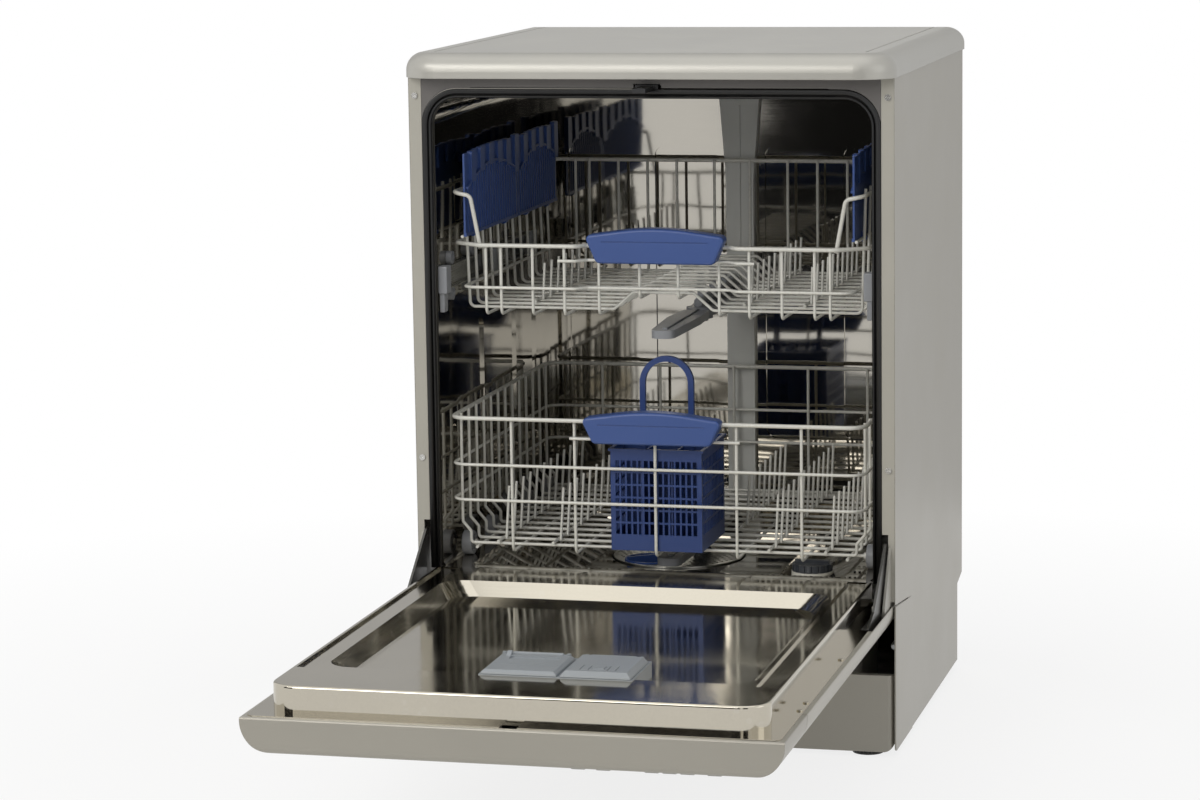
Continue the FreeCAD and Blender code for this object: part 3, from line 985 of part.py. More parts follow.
def door_shell(y0, y1, side_corners, sheet, opening_y0, opening_y1):
    """Hollow door part: rounded section, side profile, return flanges around an open inner side."""
    whole = slab_y(d_section(DOOR_HALF, PANEL_BOTTOM_Z, PANEL_Z, DOOR_SIDE_ROUND, 1.5), y0, y1)
    whole = whole.common(slab_x(side_corners, -DOOR_HALF - 5.0, DOOR_HALF + 5.0))
    inside = slab_y(d_section(DOOR_HALF - sheet, PANEL_BOTTOM_Z + sheet, PANEL_Z - sheet,
                              DOOR_SIDE_ROUND - sheet, 0.0), y0 - 1.0, y1 + 1.0)
    inner_corners = []
    for y, z, radius in side_corners:
        inner_y = y + sheet if y < (y0 + y1) / 2 else y - sheet
        inner_z = z + sheet if z < (PANEL_Z + PANEL_BOTTOM_Z) / 2 else z - sheet
        inner_corners.append((inner_y, inner_z, max(radius - sheet, 0.0)))
    inside = inside.common(slab_x(inner_corners, -DOOR_HALF - 5.0, DOOR_HALF + 5.0))
    opening = box(-DOOR_HALF + 15.0, DOOR_HALF - 15.0, opening_y0, opening_y1, PANEL_Z - sheet - 1.0, PANEL_Z + 1.0)
    return whole.cut(inside).cut(opening)


dispenser_x0 = DISPENSER_X - DISPENSER_WIDTH / 2
dispenser_x1 = DISPENSER_X + DISPENSER_WIDTH / 2
dispenser_y0 = -DISPENSER_FRONT
dispenser_y1 = -DISPENSER_FRONT + DISPENSER_DEPTH
dispenser_low = PANEL_BOTTOM_Z + 16.0
dispenser_gap = box(dispenser_x0 - 0.3, dispenser_x1 + 0.3, dispenser_y0 - 0.3, dispenser_y1 + 0.3,
                    dispenser_low - 0.3, PANEL_Z + 3.0)
panel_start = FASCIA_START + FASCIA_SEAM
panel_profile = [(panel_start, PANEL_BOTTOM_Z, 1.5), (DOOR_TAIL, PANEL_BOTTOM_Z, 18.0)]
panel_profile += [(DOOR_TAIL, PANEL_Z, 2.0), (panel_start, PANEL_Z, 0)]
outer_panel = door_shell(panel_start, DOOR_TAIL, panel_profile, SHEET, panel_start + 12.0, DOOR_TAIL - 15.0)
hinge_opening = box(LINER_FLANGE_HALF - 10.0, DOOR_HALF - 1.1, HINGE_Y - 104.0, HINGE_Y + 33.0,
                    PANEL_Z - SHEET - 1.0, PANEL_Z + 3.0)
outer_panel = outer_panel.cut([hinge_opening, mirrored(hinge_opening), dispenser_gap]).removeSplitter()

low = PANEL_BOTTOM_Z - 9.0
high = PANEL_Z + 9.0
beyond = DOOR_HALF + 9.0
round_x = DOOR_HALF - DOOR_SIDE_ROUND
round_z = PANEL_BOTTOM_Z + DOOR_SIDE_ROUND
tail_y = DOOR_TAIL - 18.0
tail_z = PANEL_BOTTOM_Z + 18.0
regions = [box(-beyond, beyond, panel_start - 1.0, panel_start + SHEET, low, high)]
regions += both_sides(box(round_x, beyond, tail_y, DOOR_TAIL + 1.0, low, high))
regions.append(slab_x([(tail_y, tail_z, 0), (tail_y + 40.0, tail_z, 0), (tail_y + 40.0, tail_z - 40.0, 0)], -beyond, beyond))
regions.append(box(-beyond, beyond, tail_y, DOOR_TAIL + 1.0, low, tail_z))
regions.append(box(-beyond, beyond, tail_y, DOOR_TAIL + 1.0, tail_z, high))
regions.append(box(-round_x, round_x, panel_start, tail_y, low, PANEL_BOTTOM_Z + SHEET))
turn = [(round_x, round_z, 0), (round_x + 60.0, round_z, 0), (round_x + 60.0, round_z - 60.0, 0)]
regions += both_sides(slab_y(turn, panel_start, tail_y))
regions += both_sides(box(round_x, beyond, panel_start, tail_y, low, round_z))
for y0, y1 in ((panel_start, HINGE_Y - 104.0), (HINGE_Y - 104.0, HINGE_Y + 33.0), (HINGE_Y + 33.0, tail_y)):
    regions += both_sides(box(round_x, beyond, y0, y1, round_z, high))
write("door_outer_panel", parted(outer_panel, regions))

fascia_profile = [(DOOR_END, PANEL_BOTTOM_Z, 9.0), (FASCIA_START, PANEL_BOTTOM_Z, 1.5)]
fascia_profile += [(FASCIA_START, PANEL_Z, 0), (DOOR_END, PANEL_Z, 3.0)]
fascia_sheet = 2.0
fascia = door_shell(DOOR_END, FASCIA_START, fascia_profile, fascia_sheet, DOOR_END + 15.0, FASCIA_START - 10.0)
button_y = DOOR_END + BUTTON_FROM_END
button_holes = []
for x in BUTTON_CENTRES:
    reach_x = BUTTON_WIDTH / 2 + 0.4
    reach_y = BUTTON_DEPTH / 2 + 0.4
    button_holes.append(slab_z([(x - reach_x, button_y - reach_y, 2.4), (x + reach_x, button_y - reach_y, 2.4),
                                (x + reach_x, button_y + reach_y, 2.4), (x - reach_x, button_y + reach_y, 2.4)],
                               PANEL_BOTTOM_Z - 1.0, PANEL_BOTTOM_Z + fascia_sheet + 1.0))
fascia = fascia.cut(button_holes)
grip_recess = slab_z([(-110.0, DOOR_END + 52.0, 16.0), (110.0, DOOR_END + 52.0, 16.0),
                      (110.0, DOOR_END + 100.0, 16.0), (-110.0, DOOR_END + 100.0, 16.0)],
                     PANEL_BOTTOM_Z - 1.0, PANEL_BOTTOM_Z + fascia_sheet + 1.0)
grip_cup_out = slab_z([(-112.0, DOOR_END + 50.0, 18.0), (112.0, DOOR_END + 50.0, 18.0),
                       (112.0, DOOR_END + 102.0, 18.0), (-112.0, DOOR_END + 102.0, 18.0)],
                      PANEL_BOTTOM_Z + fascia_sheet - 0.5, PANEL_BOTTOM_Z + 24.0)
grip_cup_in = slab_z([(-110.0, DOOR_END + 52.0, 16.0), (110.0, DOOR_END + 52.0, 16.0),
                      (110.0, DOOR_END + 100.0, 16.0), (-110.0, DOOR_END + 100.0, 16.0)],
                     PANEL_BOTTOM_Z - 1.0, PANEL_BOTTOM_Z + 22.0)
latch_half = 9.5
strike_z = GASKET_TOP + 5.5
strike_y = HINGE_Y + HINGE_Z - strike_z
latch_hole = box(-latch_half, latch_half, strike_y - 4.5, strike_y + 5.5, PANEL_Z - 4.0, PANEL_Z + 3.0)
fascia = fascia.cut(grip_recess).fuse(grip_cup_out).cut(grip_cup_in).cut(latch_hole)
fascia = fascia.cut(dispenser_gap).removeSplitter()
write("control_fascia", fascia)

# ---- door liner ------------------------------------------------------------------------------------------


def liner_plan(grow, corner):
    return [(-LINER_HALF - grow, -LINER_FRONT - grow, corner + grow), (LINER_HALF + grow, -LINER_FRONT - grow, corner + grow),
            (LINER_HALF + grow, LINER_BACK + grow, 4.0 + grow), (-LINER_HALF - grow, LINER_BACK + grow, 4.0 + grow)]


def liner_recesses(grow):
    """Wheel lanes and the dished middle, grown downward for the underside of the sheet."""
    lanes = []
    for side in (-1, 1):
        lane = box(TUB_HALF - LANE_INNER - grow, TUB_HALF - LANE_OUTER + grow, -DOOR_DISH_FRONT - 8.0 - grow, LINER_BACK + 9.0,
                   LANE_Z - grow, SILL_Z + 5.0)
        lanes.append(lane if side > 0 else mirrored(lane))
    wires = []
    for z, inset in ((SILL_Z + 0.01, 0.0), (SILL_Z - DOOR_DISH_DEPTH - grow, DOOR_DISH_SLOPE)):
        half_x = DOOR_DISH_HALF + grow - inset
        front = -DOOR_DISH_FRONT - grow + inset
        back = -DOOR_DISH_REAR + grow - inset
        corner = 30.0
        corners = [(-half_x, front, corner), (half_x, front, corner), (half_x, back, corner), (-half_x, back, corner)]
        wires.append(outline(corners, lambda a, b, height=z: Vector(a, b, height)).OuterWire)
    return lanes + [Part.makeLoft(wires, True, True)]


liner = slab_z(liner_plan(0.0, LINER_CORNER), PANEL_Z, SILL_Z)
top_edges = [e for e in liner.Edges if e.BoundBox.ZMin > SILL_Z - 0.1 and e.BoundBox.YMin < LINER_BACK - 1.0]
liner = liner.makeFillet(3.0, top_edges).cut(liner_recesses(0.0))
hollow = slab_z(liner_plan(-SHEET, LINER_CORNER), PANEL_Z - 1.0, SILL_Z - SHEET)
hollow_edges = [e for e in hollow.Edges if e.BoundBox.ZMin > SILL_Z - SHEET - 0.1 and e.BoundBox.YMin < LINER_BACK - 2.5]
hollow = hollow.makeFillet(2.0, hollow_edges).cut(liner_recesses(SHEET))
liner = liner.cut(hollow)
liner_flange = slab_z([(-LINER_FLANGE_HALF, DOOR_END + 5.0, 8.0), (LINER_FLANGE_HALF, DOOR_END + 5.0, 8.0),
                       (LINER_FLANGE_HALF, LINER_BACK, 2.0), (-LINER_FLANGE_HALF, LINER_BACK, 2.0)], PANEL_Z, PANEL_Z + SHEET)
liner_flange = liner_flange.cut(slab_z(liner_plan(-SHEET, LINER_CORNER), PANEL_Z - 1.0, PANEL_Z + 3.0))
liner = liner.fuse(liner_flange)
liner = liner.cut([hinge_opening, mirrored(hinge_opening)])
liner = liner.cut(box(dispenser_x0, dispenser_x1, dispenser_y0, dispenser_y1, PANEL_Z, SILL_Z + 9.0))
liner = liner.cut(latch_hole)
door_screws = []
for side in (-1, 1):
    for from_end in (134.0, 169.0, 376.0):
        x = side * (LINER_FLANGE_HALF - 5.0)
        y = DOOR_END + from_end
        liner = liner.cut(rod((x, y, PANEL_Z - 1.0), (x, y, PANEL_Z + 2.0), 1.7))
        door_screws.append(screw(x, y, PANEL_Z + SHEET, (0, 0, 1), 3.4, 1.4, 1.6, 0.9))
liner = liner.removeSplitter()

low = PANEL_Z - 9.0
high = SILL_Z + 9.0
flange_top = PANEL_Z + SHEET
lane_in = TUB_HALF - LANE_INNER
lane_out = TUB_HALF - LANE_OUTER
lane_front = -DOOR_DISH_FRONT - 8.0
corner_x = LINER_HALF - LINER_CORNER
corner_y = LINER_CORNER - LINER_FRONT
dish_floor_half = DOOR_DISH_HALF - DOOR_DISH_SLOPE
dish_y0 = -DOOR_DISH_FRONT
dish_y1 = -DOOR_DISH_REAR
regions = []
for y0, y1 in ((HINGE_Y - 104.0, 0.0), (3.0 - LINER_FRONT, HINGE_Y - 104.0)):
    regions += both_sides(box(LINER_HALF - SHEET, beyond, y0, y1, low, flange_top))
for x0, x1 in ((-beyond, -latch_half), (-latch_half, latch_half), (latch_half, beyond)):
    regions.append(box(x0, x1, DOOR_END, 3.0 - LINER_FRONT, low, flange_top))
turn = [(corner_x, corner_y), (corner_x + 60.0, corner_y - 60.0), (corner_x + 60.0, corner_y)]
regions += both_sides(prism_up(turn, low, high))
regions += both_sides(box(corner_x, beyond, DOOR_END, corner_y, low, high))
regions.append(box(-beyond, beyond, LINER_BACK - SHEET, 0.0, low, LANE_Z))
regions.append(box(-beyond, beyond, LINER_BACK - SHEET, 0.0, LANE_Z, high))
regions += both_sides(box(lane_out, beyond, DOOR_END, 0.0, low, high))
regions.append(box(-corner_x, corner_x, DOOR_END, 3.0 - LINER_FRONT, low, high))
regions += both_sides(box(lane_in - SHEET, lane_out, lane_front - SHEET, LINER_BACK, low, LANE_Z))
regions += both_sides(box(lane_in - SHEET, lane_out, DOOR_END, lane_front, low, high))
regions += both_sides(box(DOOR_DISH_HALF, lane_in, DOOR_END, 0.0, low, high))
regions.append(box(-beyond, beyond, DOOR_END, dispenser_y0, low, high))
regions.append(box(-beyond, beyond, dispenser_y0, dish_y0, low, high))
floor_y0 = dish_y0 + DOOR_DISH_SLOPE
floor_y1 = dish_y1 - DOOR_DISH_SLOPE
for x0, x1 in ((-dish_floor_half, dispenser_x0), (dispenser_x0, dispenser_x1), (dispenser_x1, dish_floor_half)):
    regions.append(box(x0, x1, floor_y0, floor_y1, low, SILL_Z - DOOR_DISH_DEPTH + 1.0))
outer = [(-DOOR_DISH_HALF, dish_y0), (DOOR_DISH_HALF, dish_y0), (DOOR_DISH_HALF, dish_y1), (-DOOR_DISH_HALF, dish_y1)]
inner = [(-dish_floor_half, floor_y0), (dish_floor_half, floor_y0), (dish_floor_half, floor_y1), (-dish_floor_half, floor_y1)]
for index in range(4):
    following = (index + 1) % 4
    regions.append(prism_up([outer[index], outer[following], inner[following], inner[index]], low, high))
write("door_liner", parted(liner, regions) + door_screws)

# ---- hinge arms ---------------------------------------------------------------------------------------------
arm_corners = [(HINGE_Y - 96.0, PANEL_BOTTOM_Z + 17.0, 3.0), (HINGE_Y + 14.0, PANEL_BOTTOM_Z + 17.0, 6.0)]
arm_corners += [(HINGE_Y + 14.0, HINGE_Z - 6.0, 4.0), (HINGE_Y + 42.0, HINGE_Z + 66.0, 4.0)]
arm_corners += [(HINGE_Y + 42.0, HINGE_Z + 80.0, 4.0), (HINGE_Y + 32.0, HINGE_Z + 81.0, 4.0)]
arm_corners += [(HINGE_Y - 54.0, HINGE_Z + 16.0, 6.0), (HINGE_Y - 96.0, PANEL_Z - 2.0, 3.0)]
arm = slab_x(arm_corners, HINGE_ARM_INNER, HINGE_ARM_OUTER)
bore = rod((HINGE_ARM_INNER - 1.0, HINGE_Y, HINGE_Z), (HINGE_ARM_OUTER + 1.0, HINGE_Y, HINGE_Z),
           HINGE_PIN_RADIUS + 0.3)
arm = arm.cut(bore)
foot_plate = box(HINGE_ARM_INNER - 14.0, HINGE_ARM_OUTER, HINGE_Y - 96.0, HINGE_Y - 40.0, PANEL_Z - 3.0, PANEL_Z)
arm = arm.fuse(foot_plate)
eye = rod((HINGE_ARM_INNER - 1.0, HINGE_Y + 35.0, HINGE_Z + 72.0), (HINGE_ARM_OUTER + 1.0, HINGE_Y + 35.0, HINGE_Z + 72.0), 2.2)
arm = arm.cut(eye).removeSplitter()
write("hinge_arms", [arm, mirrored(arm)])

# ---- dispenser ----------------------------------------------------------------------------------------------
body_top = SILL_Z + 1.0
split_x = dispenser_x0 + DISPENSER_WIDTH * 0.52
dispenser = box(dispenser_x0, dispenser_x1, dispenser_y0, dispenser_y1, dispenser_low, body_top)
cup_box = slab_z([(split_x + 12.0, dispenser_y0 + 14.0, 8.0), (dispenser_x1 - 12.0, dispenser_y0 + 14.0, 8.0),
                  (dispenser_x1 - 12.0, dispenser_y1 - 14.0, 8.0), (split_x + 12.0, dispenser_y1 - 14.0, 8.0)],
                 PANEL_BOTTOM_Z + 30.0, body_top + 1.0)
filler_x = (dispenser_x0 + split_x) / 2
filler_y = (dispenser_y0 + dispenser_y1) / 2
filler = rod((filler_x, filler_y, PANEL_BOTTOM_Z + 24.0), (filler_x, filler_y, body_top + 1.0), 14.0)
dispenser = dispenser.cut(cup_box).cut(filler)
hinge_ear_y = dispenser_y1 - 5.0
for x in (split_x + 8.0, dispenser_x1 - 12.0, dispenser_x0 + 4.0, split_x - 12.0):
    ear_block = box(x, x + 4.0, hinge_ear_y - 3.0, hinge_ear_y + 3.0, body_top - 1.0, body_top + 5.5)
    dispenser = dispenser.fuse(ear_block)
lid_axis_z = body_top + 3.4
lid_axles = []
for x0, x1 in ((split_x + 8.0, dispenser_x1 - 8.0), (dispenser_x0 + 4.0, split_x - 8.0)):
    lid_axles.append(rod((x0, hinge_ear_y, lid_axis_z), (x1, hinge_ear_y, lid_axis_z), 1.4))
dispenser = dispenser.fuse(lid_axles).removeSplitter()
write("dispenser_body", dispenser)


def lid(x0, x1, y0, top, chamfer):
    """Lid with sloping sides that swings about the axle behind it."""
    low = body_top + 0.4
    wires = []
    for z, inset in ((low, 0.0), (low + 2.0, 0.6), (top, chamfer)):
        points = [(x0 + inset, y0 + inset), (x1 - inset, y0 + inset), (x1 - inset, hinge_ear_y - 4.0 - inset * 0.3),
                  (x0 + inset, hinge_ear_y - 4.0 - inset * 0.3), (x0 + inset, y0 + inset)]
        wires.append(Part.makePolygon([Vector(x, y, z) for x, y in points]))
    block = Part.makeLoft(wires[:2], True, True).fuse(Part.makeLoft(wires[1:], True, True))
    wide = (x1 - x0) / 2 - 14.0
    middle = (x0 + x1) / 2
    knuckle = rod((middle - wide, hinge_ear_y, lid_axis_z), (middle + wide, hinge_ear_y, lid_axis_z), 2.8)
    web = box(middle - wide, middle + wide, hinge_ear_y - 7.0, hinge_ear_y, lid_axis_z - 1.6, lid_axis_z + 1.6)
    block = block.fuse([knuckle, web])
    return block.cut(rod((x0, hinge_ear_y, lid_axis_z), (x1, hinge_ear_y, lid_axis_z), 1.4 + 0.3))


detergent = lid(split_x + 2.0, dispenser_x1 - 2.0, dispenser_y0 + 1.0, body_top + DISPENSER_RISE, 5.0)
lid_x = (split_x + dispenser_x1) / 2
lid_top = body_top + DISPENSER_RISE
for inset in (0.0, 9.0):
    frame_out = box(lid_x - 20.0 + inset, lid_x + 20.0 - inset, dispenser_y0 + 12.0, dispenser_y0 + 34.0,
                    lid_top - 0.8, lid_top + 1.0)
    frame_in = box(lid_x - 19.0 + inset, lid_x + 19.0 - inset, dispenser_y0 + 13.0, dispenser_y0 + 33.0,
                   lid_top - 2.0, lid_top + 2.0)
    detergent = detergent.cut(frame_out.cut(frame_in))
catch_pad = box(lid_x - 6.0, lid_x + 6.0, dispenser_y0 + 17.0, dispenser_y0 + 29.0, lid_top - 0.5, lid_top + 1.0)
detergent = detergent.fuse(catch_pad).removeSplitter()
write("detergent_lid", detergent)

rinse = lid(dispenser_x0 + 2.0, split_x - 2.0, dispenser_y0 + 1.0, body_top + DISPENSER_RISE - 2.0, 4.0)
rinse_top = body_top + DISPENSER_RISE - 2.0
recess = slab_z([(dispenser_x0 + 18.0, dispenser_y1 - 36.0, 3.0), (split_x - 14.0, dispenser_y1 - 36.0, 3.0),
                 (split_x - 14.0, dispenser_y1 - 20.0, 3.0), (dispenser_x0 + 18.0, dispenser_y1 - 20.0, 3.0)],
                rinse_top - 2.0, rinse_top + 1.0)
line = box(dispenser_x0 + 8.0, split_x - 8.0, dispenser_y0 + 34.0, dispenser_y0 + 35.0, rinse_top - 0.8, rinse_top + 1.0)
slot_mark = box(dispenser_x0 + 38.0, dispenser_x0 + 46.0, dispenser_y0 + 20.0, dispenser_y0 + 22.0, rinse_top - 1.0, rinse_top + 1.0)
rinse = rinse.cut([recess, line, slot_mark])
tongue = slab_x([(dispenser_y1 - 24.0, rinse_top - 1.0, 0), (dispenser_y1 - 10.0, rinse_top - 1.0, 0),
                 (dispenser_y1 - 12.0, rinse_top + 4.0, 1.5), (dispenser_y1 - 15.0, rinse_top + 4.0, 1.0)],
                dispenser_x0 + 12.0, dispenser_x0 + 17.0)
rinse = rinse.fuse(tongue).removeSplitter()
write("rinse_aid_cover", rinse)

# ---- latch, control board and buttons -----------------------------------------------------------------------
latch_pivot_y = strike_y + 19.5
latch_pivot_z = PANEL_Z - 6.0
hook_swing = 38.0
hook = rod((-4.0, latch_pivot_y, latch_pivot_z), (4.0, latch_pivot_y, latch_pivot_z), 4.4)
hook = hook.fuse(box(-4.0, 4.0, strike_y - 1.0, latch_pivot_y, latch_pivot_z - 2.4, latch_pivot_z + 2.4))
hook = hook.cut(rod((-20.0, latch_pivot_y, latch_pivot_z), (20.0, latch_pivot_y, latch_pivot_z), 2.3))
hook.rotate(Vector(0, latch_pivot_y, latch_pivot_z), Vector(1, 0, 0), hook_swing)
write("latch_hook", hook.removeSplitter())
case_outer = box(-30.0, 30.0, DOOR_END + 3.5, DOOR_END + 47.0, PANEL_Z - 26.0, PANEL_Z - fascia_sheet - 0.1)
case_inner = box(-latch_half, latch_half, strike_y - 4.5, latch_pivot_y + 7.0, PANEL_Z - 24.0, PANEL_Z + 2.0)
latch_axle = rod((-latch_half - 3.0, latch_pivot_y, latch_pivot_z), (latch_half + 3.0, latch_pivot_y, latch_pivot_z), 2.0)
case = case_outer.cut(case_inner).fuse(latch_axle).removeSplitter()
write("door_latch", case)

board = box(60.0, 232.0, DOOR_END + 8.0, DOOR_END + 46.0, PANEL_BOTTOM_Z + 14.0, PANEL_BOTTOM_Z + 16.0)
for x in BUTTON_CENTRES:
    switch = box(x - 4.0, x + 4.0, button_y - 4.0, button_y + 4.0, PANEL_BOTTOM_Z + 9.5, PANEL_BOTTOM_Z + 14.0)
    board = board.fuse(switch)
for x in (64.0, 228.0):
    post = rod((x, DOOR_END + 40.0, PANEL_BOTTOM_Z + fascia_sheet), (x, DOOR_END + 40.0, PANEL_BOTTOM_Z + 14.0), 3.0)
    board = board.fuse(post)
for index in range(5):
    part = box(80.0 + index * 30.0, 96.0 + index * 30.0, DOOR_END + 30.0, DOOR_END + 40.0,
               PANEL_BOTTOM_Z + 16.0, PANEL_BOTTOM_Z + 22.0)
    board = board.fuse(part)
write("control_board", board.removeSplitter())

for name, x in zip(BUTTON_NAMES, BUTTON_CENTRES):
    half_x = BUTTON_WIDTH / 2
    half_y = BUTTON_DEPTH / 2
    corners = [(x - half_x, button_y - half_y, 2.0), (x + half_x, button_y - half_y, 2.0),
               (x + half_x, button_y + half_y, 2.0), (x - half_x, button_y + half_y, 2.0)]
    key = slab_z(corners, PANEL_BOTTOM_Z - BUTTON_PROUD, PANEL_BOTTOM_Z + 4.0)
    lower_edges = [edge for edge in key.Edges if edge.BoundBox.ZMax < PANEL_BOTTOM_Z - BUTTON_PROUD + 0.1]
    key = key.makeFillet(1.0, lower_edges)
    stem = rod((x, button_y, PANEL_BOTTOM_Z + 3.9), (x, button_y, PANEL_BOTTOM_Z + 9.5 - BUTTON_TRAVEL - 0.1), 2.5)
    collar = box(x - half_x - 1.0, x + half_x + 1.0, button_y - 2.0, button_y + 2.0,
                 PANEL_BOTTOM_Z + fascia_sheet + RUNNING_CLEARANCE, PANEL_BOTTOM_Z + 4.0)
    write("button_" + name, key.fuse([stem, collar]).removeSplitter())

# ---- lower basket ------------------------------------------------------------------------------------------
lower_side_x = LOWER_HALF - RIM_WIRE - WIRE
lower_front_y = LOWER_FRONT + RIM_WIRE + WIRE
lower_rear_y = LOWER_REAR - RIM_WIRE - WIRE
length_z = AXLE_Z + AXLE_RADIUS + WIRE
cross_z = length_z + 2 * WIRE
tine_rail_z = cross_z + 2 * WIRE
jog_x = LOWER_HALF - 15.0
wires = ring(LOWER_HALF, LOWER_FRONT, LOWER_REAR, LOWER_RIM_Z, RIM_WIRE, 22.0)
for z in LOWER_RING_Z:
    wires += ring(lower_side_x + 2 * WIRE, lower_front_y - 2 * WIRE, lower_rear_y + 2 * WIRE, z, WIRE, 20.0)
cross_count = 13
cross_first = LOWER_FRONT + 34.0
cross_pitch = (LOWER_REAR - 30.0 - cross_first) / (cross_count - 1)
cross_rows = [cross_first + index * cross_pitch for index in range(cross_count)]
for y in cross_rows:
    wires.append(rod((-jog_x + 12.0, y, cross_z), (jog_x - 12.0, y, cross_z), WIRE))
    for side in (-1, 1):
        points = [(side * lower_side_x, y, cross_z + 36.0), (side * lower_side_x, y, cross_z + 26.0)]
        points += [(side * jog_x, y, cross_z + 14.0), (side * jog_x, y, cross_z), (side * (jog_x - 12.0), y, cross_z)]
        wires.append(bent_wire(points, WIRE, 4.0))
        wires.append(rod((side * lower_side_x, y, cross_z + 36.0), (side * lower_side_x, y, LOWER_RIM_Z + 1.0), WIRE))
length_xs = [side * x for x in LOWER_LENGTH_WIRES for side in ((-1, 1) if x else (1,))]
for x in length_xs:
    wires.append(rod((x, lower_front_y + 14.0, length_z), (x, lower_rear_y - 14.0, length_z), WIRE))
    for y, turn in ((lower_front_y, 14.0), (lower_rear_y, -14.0)):
        wires.append(bent_wire([(x, y, length_z + 22.0), (x, y, length_z), (x, y + turn, length_z)], WIRE, 9.0))
        wires.append(rod((x, y, length_z + 22.0), (x, y, LOWER_RIM_Z + 1.0), WIRE))
for side in (-1, 1):
    x = side * (jog_x - 10.0)
    wires.append(rod((x, LOWER_FRONT + 24.0, length_z), (x, LOWER_REAR - 6.0, length_z), WIRE))
wires.append(rod((-106.0, lower_front_y - 2 * WIRE, LOWER_RIM_Z - 22.0),
                 (106.0, lower_front_y - 2 * WIRE, LOWER_RIM_Z - 22.0), WIRE))
tine_rows = [(-206.0, 0), (-136.0, 0), (136.0, 0), (206.0, 0), (-72.0, 4), (72.0, 4)]
tine_lean = 15.0
tine_height = 66.0
for x, first in tine_rows:
    start_y = cross_rows[first] - 8.0
    wires.append(rod((x, start_y, tine_rail_z), (x, cross_rows[-1] + 8.0, tine_rail_z), WIRE))
    for index in range(first, cross_count - 1):
        y = cross_rows[index] + cross_pitch / 2
        foot_z = tine_rail_z - WIRE + 0.6
        base = (x + WIRE + TINE, y, foot_z)
        tip = (x + WIRE + TINE, y + tine_height * sin(radians(tine_lean)), foot_z + tine_height * cos(radians(tine_lean)))
        wires.append(rod(base, tip, TINE))
for y in WHEEL_ROWS:
    wires.append(rod((-WHEEL_OUTER - 0.2, y, AXLE_Z), (WHEEL_OUTER + 0.2, y, AXLE_Z), AXLE_RADIUS))
    for side in (-1, 1):
        inner = WHEEL_OUTER - WHEEL_WIDTH - 1.3
        hub_cap = rod((side * (inner - 3.0), y, AXLE_Z), (side * inner, y, AXLE_Z), 4.5)
        hub_cap = hub_cap.cut(rod((side * (inner - 4.0), y, AXLE_Z), (side * (inner + 1.0), y, AXLE_Z), AXLE_RADIUS))
        wires.append(hub_cap)
        end_cap = rod((side * (WHEEL_OUTER + RUNNING_CLEARANCE), y, AXLE_Z), (side * (WHEEL_OUTER + 1.8), y, AXLE_Z), 4.0)
        end_cap = end_cap.cut(rod((0, y, AXLE_Z), (side * (WHEEL_OUTER + 0.2), y, AXLE_Z), AXLE_RADIUS))
        wires.append(end_cap)
write("lower_basket", wires)

for number, y in enumerate(WHEEL_ROWS, 1):
    pair = []
    for side in (-1, 1):
        inner = WHEEL_OUTER - WHEEL_WIDTH
        wheel = rod((side * inner, y, AXLE_Z), (side * WHEEL_OUTER, y, AXLE_Z), WHEEL_RADIUS)
        wheel = wheel.makeFillet(1.2, [edge for edge in wheel.Edges if edge.Length > 2 * pi * WHEEL_RADIUS - 1.0
                                       and abs(edge.BoundBox.XLength) < 0.1])
        dish_out = rod((side * (WHEEL_OUTER - 2.0), y, AXLE_Z), (side * (WHEEL_OUTER + 1.0), y, AXLE_Z), WHEEL_RADIUS - 3.0)
        dish_out = dish_out.cut(rod((side * (WHEEL_OUTER - 3.0), y, AXLE_Z), (side * (WHEEL_OUTER + 2.0), y, AXLE_Z), 5.0))
        wheel = wheel.cut(dish_out)
        spokes = []
        for index in range(5):
            angle = index * 2 * pi / 5 + 0.3
            window = rod((side * (inner - 1.0), y + 8.6 * cos(angle), AXLE_Z + 8.6 * sin(angle)),
                         (side * (WHEEL_OUTER + 1.0), y + 8.6 * cos(angle), AXLE_Z + 8.6 * sin(angle)), 2.2)
            spokes.append(window)
        wheel = wheel.cut(spokes)
        wheel = wheel.cut(rod((side * (inner - 2.0), y, AXLE_Z), (side * (WHEEL_OUTER + 2.0), y, AXLE_Z),
                              AXLE_RADIUS + RUNNING_CLEARANCE))
        pair.append(wheel.removeSplitter())
    write("basket_wheels_" + str(number), pair)


def handle(front_y, back_y, low, high, wires_inside):
    """Blue grip: wider and slightly crowned at the top, with a groove line across its front."""
    half = HANDLE_WIDTH / 2
    corners = [(-half + 15.0, low, 8.0), (half - 15.0, low, 8.0), (half, high - 9.0, 6.0)]
    corners += [(0.0, high + 3.0, 320.0), (-half, high - 9.0, 6.0)]
    grip = slab_y(corners, front_y, back_y)
    front_edges = [edge for edge in grip.Edges if edge.BoundBox.YMax < front_y + 0.1]
    grip = grip.makeFillet(3.5, front_edges)
    groove = box(-half + 22.0, half - 22.0, front_y - 1.0, front_y + 1.0, high - 17.0, high - 15.6)
    under = slab_y([(-half + 26.0, low + 6.0, 4.0), (half - 26.0, low + 6.0, 4.0),
                    (half - 20.0, high - 26.0, 4.0), (-half + 20.0, high - 26.0, 4.0)], back_y - 5.0, back_y + 1.0)
    grip = grip.cut([groove, under])
    return grip.cut(wires_inside).removeSplitter()


